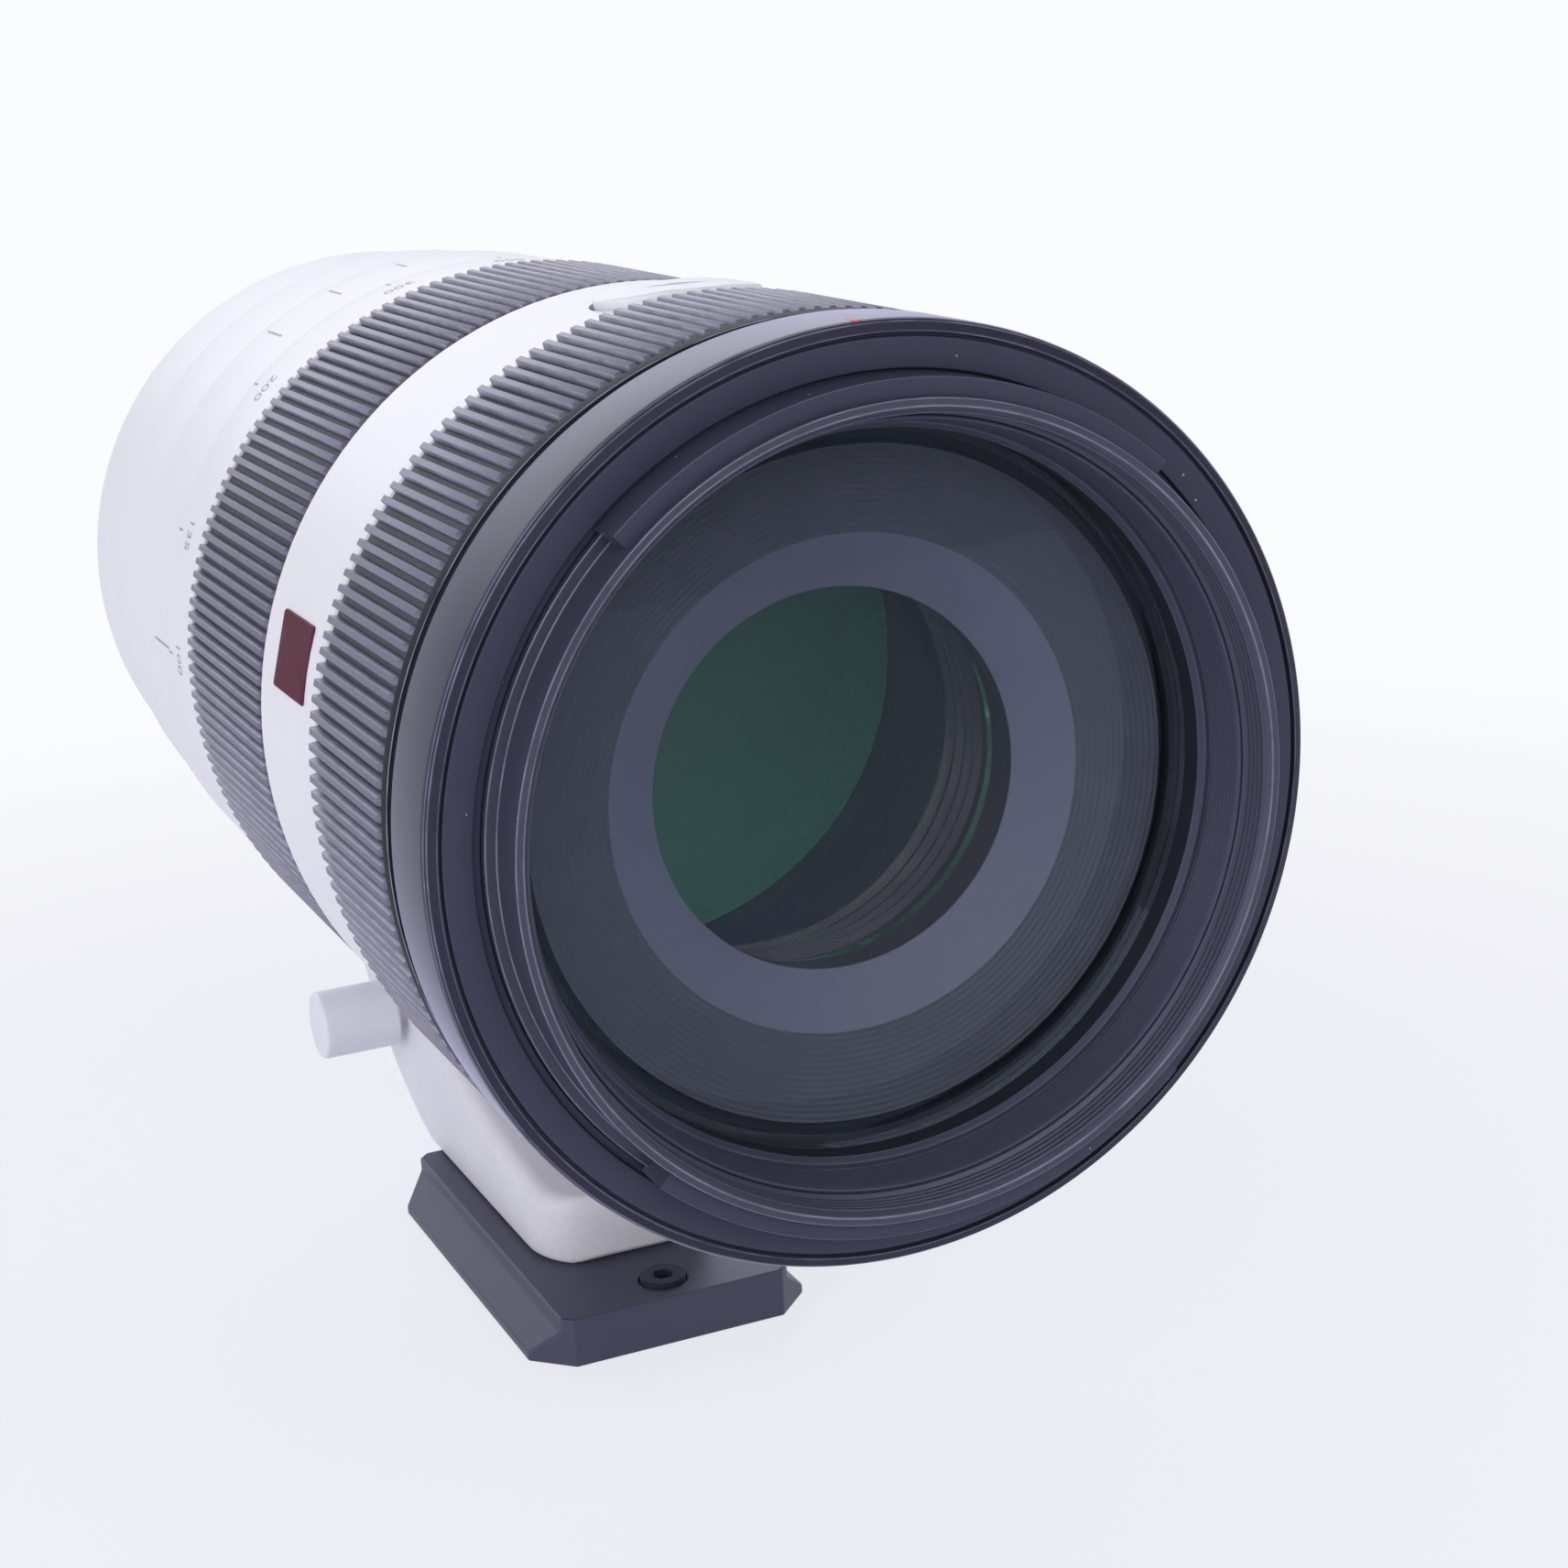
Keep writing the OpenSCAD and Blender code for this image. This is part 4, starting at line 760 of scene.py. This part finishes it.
def ribbed_grip(name, r_in, r_tip, z0, z1):
    """Radius = floor + height * lift(angle) * along(z): lift is a soft trapezoid in each pitch."""
    share = np.array([-0.32, -0.295, -0.235, -0.195, 0.195, 0.235, 0.295, 0.32, 0.5])
    lift = np.tile([0.0, 0.08, 0.90, 1.0, 1.0, 0.90, 0.08, 0.0, 0.0], RIBS)
    # The crest points carry the edge attribute, so each rib's top edges get a painted highlight.
    painted_crest_light = np.tile([0.0, 0.0, 1.0, 0.0, 0.0, 1.0, 0.0, 0.0, 0.0], RIBS)
    angle = ((np.arange(RIBS)[:, None] + share) * 2 * np.pi / RIBS).ravel()
    floor_r = r_tip - RIB_H
    base = np.array([r_in, floor_r - 0.1, *[floor_r] * 5, floor_r - 0.08, r_in])[:, None]
    along = np.array([0, 0.88, 1, 1, 0.9, 0.06, 0, 0, 0])[:, None]
    z = np.array([z0, z0, z0 + 0.15, z1 - 1.15, z1 - 1.0, z1 - 0.42, z1 - 0.35, z1, z1])[:, None]
    r = base + RIB_H * along * lift
    points = along_lens(r * np.cos(angle), r * np.sin(angle), z)
    faces = quad_grid(len(base), len(angle), True, True)
    grip = surface(name, points, [faces], rib_rubber, along * painted_crest_light, sharp=35)
    # The floor between and ahead of the ribs is painted darker: painted shade in the grooves.
    paint_where(grip, groove_shade_rubber, lambda r, z: r < floor_r + 0.3 * RIB_H)
    return grip


FOCUS_Z0, FOCUS_Z1, FOCUS_R = 160.5, 189.3, 46.35
focus_ribs = ribbed_grip(
    "focus_ribs", r_in=44.75, r_tip=FOCUS_R, z0=FOCUS_Z0 + 0.1, z1=FOCUS_Z1 - 3.6)
dress(focus_ribs, "focus", "grip_rubber", "focus_grip")
FOCUS_BORE, SLEEVE_R, HIGH_R, LOW_R = 43.55, 44.7, FOCUS_R - 0.1, FOCUS_R - 0.4
HIGH_Z0, LOW_Z0, LOW_Z1 = FOCUS_Z1 - 3.5, FOCUS_Z1 - 1.7, FOCUS_Z1 - 0.25
# The step's corner gets the light edge colour: a painted highlight.
STEP_CORNER = 4
focus_rim = turned_ring("focus_rim", [
    (FOCUS_BORE, FOCUS_Z0), (SLEEVE_R, FOCUS_Z0), (SLEEVE_R, HIGH_Z0), (HIGH_R, HIGH_Z0),
    (HIGH_R, LOW_Z0), (LOW_R, LOW_Z0), (LOW_R, LOW_Z1), (FOCUS_BORE, LOW_Z1)],
    rim_black, cut=0.15, worn_and_lit=[STEP_CORNER])
dress(focus_rim, "focus", "black_alloy", "focus_sleeve")
ZOOM_Z0, ZOOM_Z1, ZOOM_R = 102.4, 137.4, 45.45
zoom_ribs = ribbed_grip(
    "zoom_ribs", r_in=43.85, r_tip=ZOOM_R, z0=ZOOM_Z0 + 0.1, z1=ZOOM_Z1 - 0.2)
dress(zoom_ribs, "zoom", "grip_rubber", "zoom_grip")

# %% [markdown]
# ## White shells
# Zoom ring tail, tension ring, rear barrel and tripod collar are painted castings with softly
# broken edges and a shadow gap between them. Each is a turned ring with its own corner cut, and
# the table gives its body, its solid, that cut, and the points (radius, length) of its section.

# %% White shells
TAIL_Z0, TAIL_R, TENSION_R, SHELL_BORE = 89.6, 45.0, 44.7, 41.5
shells = {
    "zoom_shell": ("zoom", "zoom_sleeve", 0.35, [
        (SHELL_BORE, TAIL_Z0), (TAIL_R, TAIL_Z0), (TAIL_R, ZOOM_Z0), (43.8, ZOOM_Z0),
        (43.8, ZOOM_Z1), (SHELL_BORE, ZOOM_Z1)]),
    "tension_band": ("tension", "tension_ring", 0.35, [
        (42.95, 72.65), (TENSION_R, 72.65), (TENSION_R, 89.25), (42.95, 89.25)]),
    "rear_shell": ("barrel", "rear_barrel", 0.4, [
        (26.0, 3.0), (33.5, 3.0), (35.5, 8.0), (38.6, 26.25), (38.6, 29.65), (37.6, 29.65),
        (37.6, 52.35), (43.6, 52.35), (43.6, 72.3), (42.6, 72.3), (42.6, 88.95),
        (SHELL_BORE, 88.95), (SHELL_BORE, 64.65), (36.2, 64.65), (36.2, 26.75), (34.5, 26.75),
        (32.9, 6.5), (26.0, 6.5)]),
    "collar_band": ("collar", "collar_ring", 0.9, [
        (37.95, 30.0), (42.0, 30.0), (42.0, 52.0), (37.95, 52.0)]),
}
for name, (body, solid, cut, profile) in shells.items():
    dress(turned_ring(name, profile, white_paint, cut), body, "white_body", solid)


# %% [markdown]
# ## Buttons and badge
# Pads that sit on a cylinder are easiest to draw flat, as an outline shrunk in steps towards its
# middle, and then rolled onto the barrel: distance around becomes angle. The same function makes
# the oblong focus hold buttons, the small enamel badge and the red mark that the hood is lined up
# with.

# %% Pads rolled onto the barrel
def rolled_pad(name, half_around, half_along, corner, r_base, r_top, angle, z, material,
               edge_r=0.45):
    """Outline at inset o: a rounded rectangle (half sizes less o). Its height falls off as a
    quarter circle of edge_r at the rim. Flat (t, l) goes to the angle a + t / r and the length
    z + l."""
    a = np.linspace(0, 2 * np.pi, 96, endpoint=False)
    arc, inner = np.linspace(0.2, np.pi / 2, 7), np.linspace(0.25, 0.96, 5)
    half_least = min(half_around, half_along)
    corner = min(corner, half_least)
    inset = np.concatenate([[0.0, 0.0], edge_r * (1 - np.cos(arc)), inner * half_least])
    drop = np.concatenate([[r_top - r_base, edge_r], edge_r * (1 - np.sin(arc)), 0 * inner])
    near = np.concatenate([[0, 0.3], np.sin(np.linspace(0.2, np.pi, 7)), 0 * inner])
    inset = inset[:, None]
    keep = np.maximum(corner - inset, 0.02)
    t = keep * np.cos(a) + np.sign(np.cos(a)) * np.maximum(half_around - inset - keep, 0)
    l = keep * np.sin(a) + np.sign(np.sin(a)) * np.maximum(half_along - inset - keep, 0)
    r = (r_top - drop)[:, None]
    middle = math.radians(angle)
    turn = middle + t / r_top
    rings = along_lens(r * np.cos(turn), r * np.sin(turn), z + l).reshape(-1, 3)
    pole_r = np.array([r_base, r_top])
    poles = along_lens(pole_r * math.cos(middle), pole_r * math.sin(middle), z)
    faces = [quad_grid(len(inset), len(a), False, True), *fans(len(rings), len(a))]
    edge = np.concatenate([np.repeat(near, len(a)), [0, 0]])
    return surface(name, np.concatenate([rings, poles]), faces, material, edge)


BAND_R, BUTTON_Z = 45.5, 153.1
for side, angle in (("top", 90), ("side", 0), ("bottom", -90)):
    cap = rolled_pad(
        "hold_cap_" + side, half_around=9.4, half_along=5.5, corner=5.5, r_base=BAND_R - 1.6,
        r_top=BAND_R + 1.0, angle=angle, z=BUTTON_Z, material=white_paint)
    dress(cap, "hold_" + side, "white_body", "hold_button_" + side)
badge = rolled_pad(
    "badge", half_around=4.2, half_along=5.75, corner=0.5, r_base=BAND_R - 0.2,
    r_top=BAND_R + 0.25, angle=165.0, z=149.4, material=badge_enamel, edge_r=0.2)
dress(badge, "barrel", "white_body")
hood_index = rolled_pad(
    "hood_index", half_around=0.45, half_along=1.1, corner=0.3, r_base=FRONT_R - 0.1,
    r_top=FRONT_R + 0.03, angle=91.3, z=198.2, material=index_red, edge_r=0.03)
dress(hood_index, "front", "black_plastic")


# %% [markdown]
# ## Printed marks
# The zoom ring carries its focal lengths, read from behind, and the tension ring an index line with
# a few ticks. Paint is a thin film, so each mark stands 0.02 mm proud. Letters start as a flat text
# curve. It is made a mesh first, and then its points are rolled onto the ring.

# %% Printed marks
INK, SUNK = 0.02, 0.1


def rolled_text(name, words, size, angle, z, r):
    """Letters rolled on: x goes to the angle a + x / r, y to the length z + y, and the extrusion
    to the radius."""
    curve = bpy.data.curves.new(name, "FONT")
    curve.body, curve.size, curve.align_x, curve.align_y = words, size, "CENTER", "CENTER"
    curve.resolution_u, curve.extrude = 3, INK
    flat = bpy.data.objects.new(name + "_flat", curve)
    scene.collection.objects.link(flat)
    mesh = bpy.data.meshes.new_from_object(flat)
    bpy.data.objects.remove(flat)
    bpy.data.curves.remove(curve)
    work = bmesh.new()
    work.from_mesh(mesh)
    bmesh.ops.remove_doubles(work, verts=work.verts, dist=1e-4)
    work.to_mesh(mesh)
    work.free()
    flat_points = np.empty(len(mesh.vertices) * 3)
    mesh.vertices.foreach_get("co", flat_points)
    x, y, lift = flat_points.reshape(-1, 3).T
    turn = math.radians(angle) + x / r
    points = along_lens((r + lift) * np.cos(turn), (r + lift) * np.sin(turn), z + y)
    mesh.vertices.foreach_set("co", points.ravel())
    mesh.update()
    mesh.materials.clear()
    mesh.materials.append(scale_ink)
    piece = bpy.data.objects.new(name, mesh)
    scene.collection.objects.link(piece)
    return piece


def printed_line(name, half_around, half_along, r, angle, z, body):
    """Short printed line along the lens, on a ring of radius r."""
    line = rolled_pad(
        name, half_around, half_along, 0.1, r - SUNK, r + INK, angle, z, scale_ink, edge_r=INK)
    dress(line, body, "black_plastic")


ZOOM_INDEX, ZOOM_TURN, TEXT_SIZE, TEXT_Z, TICK_Z = 178.5, 90, 2.8, TAIL_Z0 + 5.6, TAIL_Z0 + 1.3
for focal in (100, 135, 200, 300, 400):
    angle = ZOOM_INDEX - ZOOM_TURN * math.log(focal / 100) / math.log(4)
    number = rolled_text("focal_%d" % focal, str(focal), TEXT_SIZE, angle, TEXT_Z, TAIL_R)
    dress(number, "zoom", "black_plastic")
    printed_line("focal_tick_%d" % focal, 0.16, 0.8, TAIL_R, angle, TICK_Z, "zoom")
marks = {"zoom_index": (ZOOM_INDEX, 84.5, 4.0), "tension_tick_1": (100, 78.5, 2.2),
         "tension_tick_2": (112, 78.5, 2.8), "tension_tick_3": (124, 78.5, 3.4)}
for name, (angle, z, half_along) in marks.items():
    printed_line(name, 0.18, half_along, TENSION_R, angle, z, "tension")


# %% [markdown]
# ## Tripod foot
# The foot is a casting: a flat toe on the plate that rises in one curve to the collar. It is lofted
# from sections that run between a top and a bottom line, each a rounded rectangle. The toe's front
# corners are rounded in plan by narrowing the first sections.

# %% Tripod foot
def bend(a, b, c, steps=40):
    """Curve from a to c that leaves and arrives in the direction of b."""
    s = np.linspace(0, 1, steps)[:, None]
    return (1 - s) ** 2 * np.array(a) + 2 * s * (1 - s) * np.array(b) + s ** 2 * np.array(c)


def along_line(line, share):
    """Points at given shares of a line's length, and that length."""
    run = np.concatenate([[0], np.cumsum(np.linalg.norm(np.diff(line, axis=0), axis=1))])
    points = np.stack([np.interp(share * run[-1], run, line[:, k]) for k in (0, 1)], axis=-1)
    return points, run[-1]


def foot_casting():
    """Section at share s: centre between top and bottom line, half height h, and half width w less
    the toe's corner. Lines are in (y, z), in mm."""
    plate_t, half_w, toe_r, front_r = 6.35, 12.0, 6.0, 0.9
    low_r, high_r, arc_steps = 1.0, 2.6, 7
    toe_y, neck_z = -15.9, 45.6
    top_line = np.concatenate([
        bend((toe_y, 15.35), (34.2, 19.35), (50.55, 38.5)), [(50.55, neck_z)]])
    low_line = np.concatenate([
        [(toe_y, plate_t)], bend((72.2, 43.4), (62.2, 14.35), (34.0, plate_t))[::-1],
        [(72.2, neck_z)]])
    toe = np.array([0, 0.15, 0.5, 1.0, 1.8, 2.8, 4.0, 5.2, 6.0]) / 90
    share = np.concatenate([toe, np.linspace(0.09, 1, 60)])
    top, run = along_line(top_line, share)
    low, _ = along_line(low_line, share)
    ahead = share * run
    narrow = toe_r - np.sqrt(np.maximum(toe_r ** 2 - np.maximum(toe_r - ahead, 0) ** 2, 0))
    inset = front_r * np.maximum(1 - ahead / front_r, 0) ** 2
    rise, middle = top - low, (top + low) / 2
    tall = np.linalg.norm(rise, axis=1)
    rise = rise / tall[:, None]
    half_h, width = tall / 2 - inset, half_w - narrow - inset
    quarter = np.linspace(0, np.pi / 2, arc_steps)
    a = (np.arange(4)[:, None] * np.pi / 2 + quarter + np.pi).ravel()
    round_r = np.repeat([low_r, low_r, high_r, high_r], arc_steps)
    sign_x, sign_h = np.repeat([[-1, 1, 1, -1], [-1, -1, 1, 1]], arc_steps, axis=1)
    x = sign_x * (width[:, None] - round_r) + round_r * np.cos(a)
    h = sign_h * (half_h[:, None] - round_r) + round_r * np.sin(a)
    y = middle[:, :1] + h * rise[:, :1]
    z = middle[:, 1:] + h * rise[:, 1:]
    points = np.stack([x, y, z], axis=-1) * MM
    loop = np.arange(len(a))[None, :]
    ends = [loop[:, ::-1], loop + (len(share) - 1) * len(a)]
    edge = np.tile(np.sin(np.linspace(0, np.pi, arc_steps)), (len(share), 4))
    faces = quad_grid(len(share), len(a), False, True)
    return surface("foot_casting", points, [faces, *ends], foot_paint, edge)


dress(foot_casting(), "collar", "foot_paint", "tripod_foot")


# %% [markdown]
# ## Lock knob
# A plain round knob stands out of the foot's side and tightens the collar. It is a turned solid
# again, on an axis of its own: the function that places the points is the only thing that changes.

# %% Lock knob
KNOB_X, KNOB_Y, KNOB_Z = -13.2, 43.6, 23.025
KNOB_R, KNOB_END, PIN_R, PIN_END = 4.8, 11.0, 2.5, -9.0


def beside_foot(x, y, z):
    """Knob coordinates to the frame: z runs out of the foot's side (-X)."""
    x, y, z = np.broadcast_arrays(x, y, z)
    return np.stack([KNOB_X - z, KNOB_Y + x, KNOB_Z + y], axis=-1) * MM


knob_line, knob_near = soften([
    (0.0, PIN_END), (PIN_R, PIN_END), (PIN_R, 0.0), (KNOB_R, 0.0), (KNOB_R, KNOB_END),
    (0.0, KNOB_END)], cut=0.7)
off_axis = slice(CORNER_STEPS, -CORNER_STEPS)
clamp_knob = turned_solid(
    "clamp_knob", [(0.0, PIN_END), *knob_line[off_axis], (0.0, KNOB_END)], white_paint, steps=96,
    place=beside_foot, near=np.array([0, *knob_near[off_axis], 0]))
dress(clamp_knob, "knob", "foot_paint", "lock_knob")

# %% [markdown]
# ## Dovetail plate
# The plate is a milled bar with broken edges. Its solid already has the flanks, the cut corners and
# the screw holes, so a copy of it gets welded, and a bevel rounds the edges that light should
# catch.

# %% Dovetail plate
def rounded_copy(name, node, width, material):
    """Copy of a solid with its points merged and its flat faces joined, under a bevel of the given
    width in mm."""
    mesh = node.data.copy()
    mesh.name = name
    mesh.transform(node.matrix_world)
    normals = mesh.attributes.get("custom_normal")
    if normals:
        mesh.attributes.remove(normals)
    work = bmesh.new()
    work.from_mesh(mesh)
    bmesh.ops.remove_doubles(work, verts=work.verts, dist=1e-6)
    bmesh.ops.dissolve_limit(
        work, angle_limit=math.radians(1), verts=work.verts, edges=work.edges)
    work.to_mesh(mesh)
    work.free()
    mesh.shade_smooth()
    mesh.set_sharp_from_angle(angle=math.radians(32))
    mesh.materials.clear()
    mesh.materials.append(material)
    piece = bpy.data.objects.new(name, mesh)
    scene.collection.objects.link(piece)
    bevel = piece.modifiers.new("broken_edges", "BEVEL")
    bevel.width, bevel.segments = width * MM, 3
    bevel.limit_method, bevel.angle_limit = "ANGLE", math.radians(35)
    return piece


dovetail = rounded_copy("dovetail", nodes["quick_plate"], 0.35, plate_black)
dress(dovetail, "collar", "black_alloy", "quick_plate")

# %% [markdown]
# ## Solids that stay
# The button band, the switch panel, the mount and everything inside the barrel have the right shape
# already, so they only get their finishes. Glass casts no shadow here, since light passes through.

# %% Finishes for the remaining solids
kept = {
    white_paint: ["mid_barrel", "switch_panel"],
    black_alloy: ["guide_tube", "relay_tube", "extension_tube", "cam_tube"],
    matte_black: ["contact_block", "rear_baffle", "rear_cell", "variator_cell", "focus_cell",
                  "stabiliser_frame", "stabiliser_cell", "iris_housing", "iris_ring"],
    satin_black: ["switch_focus_mode", "switch_manual", "switch_range", "switch_steady",
                  "stop_screw"],
    rib_rubber: ["mount_seal"],
    steel: ["mount_flange", "mount_screws", "plate_screw", "cam_followers"],
    gold_plate: ["contact_pins"],
    board_green: ["circuit_board"],
    green_painted_reflection: ["variator_element"],
    violet_coating: ["focus_element", "rear_element", "stabiliser_element"],
    blade_film: ["iris_blade_%d" % i for i in range(1, 10)],
}
for material, names in kept.items():
    for name in names:
        nodes[name].data.materials.clear()
        nodes[name].data.materials.append(material)
for name in kept[green_painted_reflection] + kept[violet_coating]:
    nodes[name].visible_shadow = False
print("solids that keep their shape:", sum(len(names) for names in kept.values()))
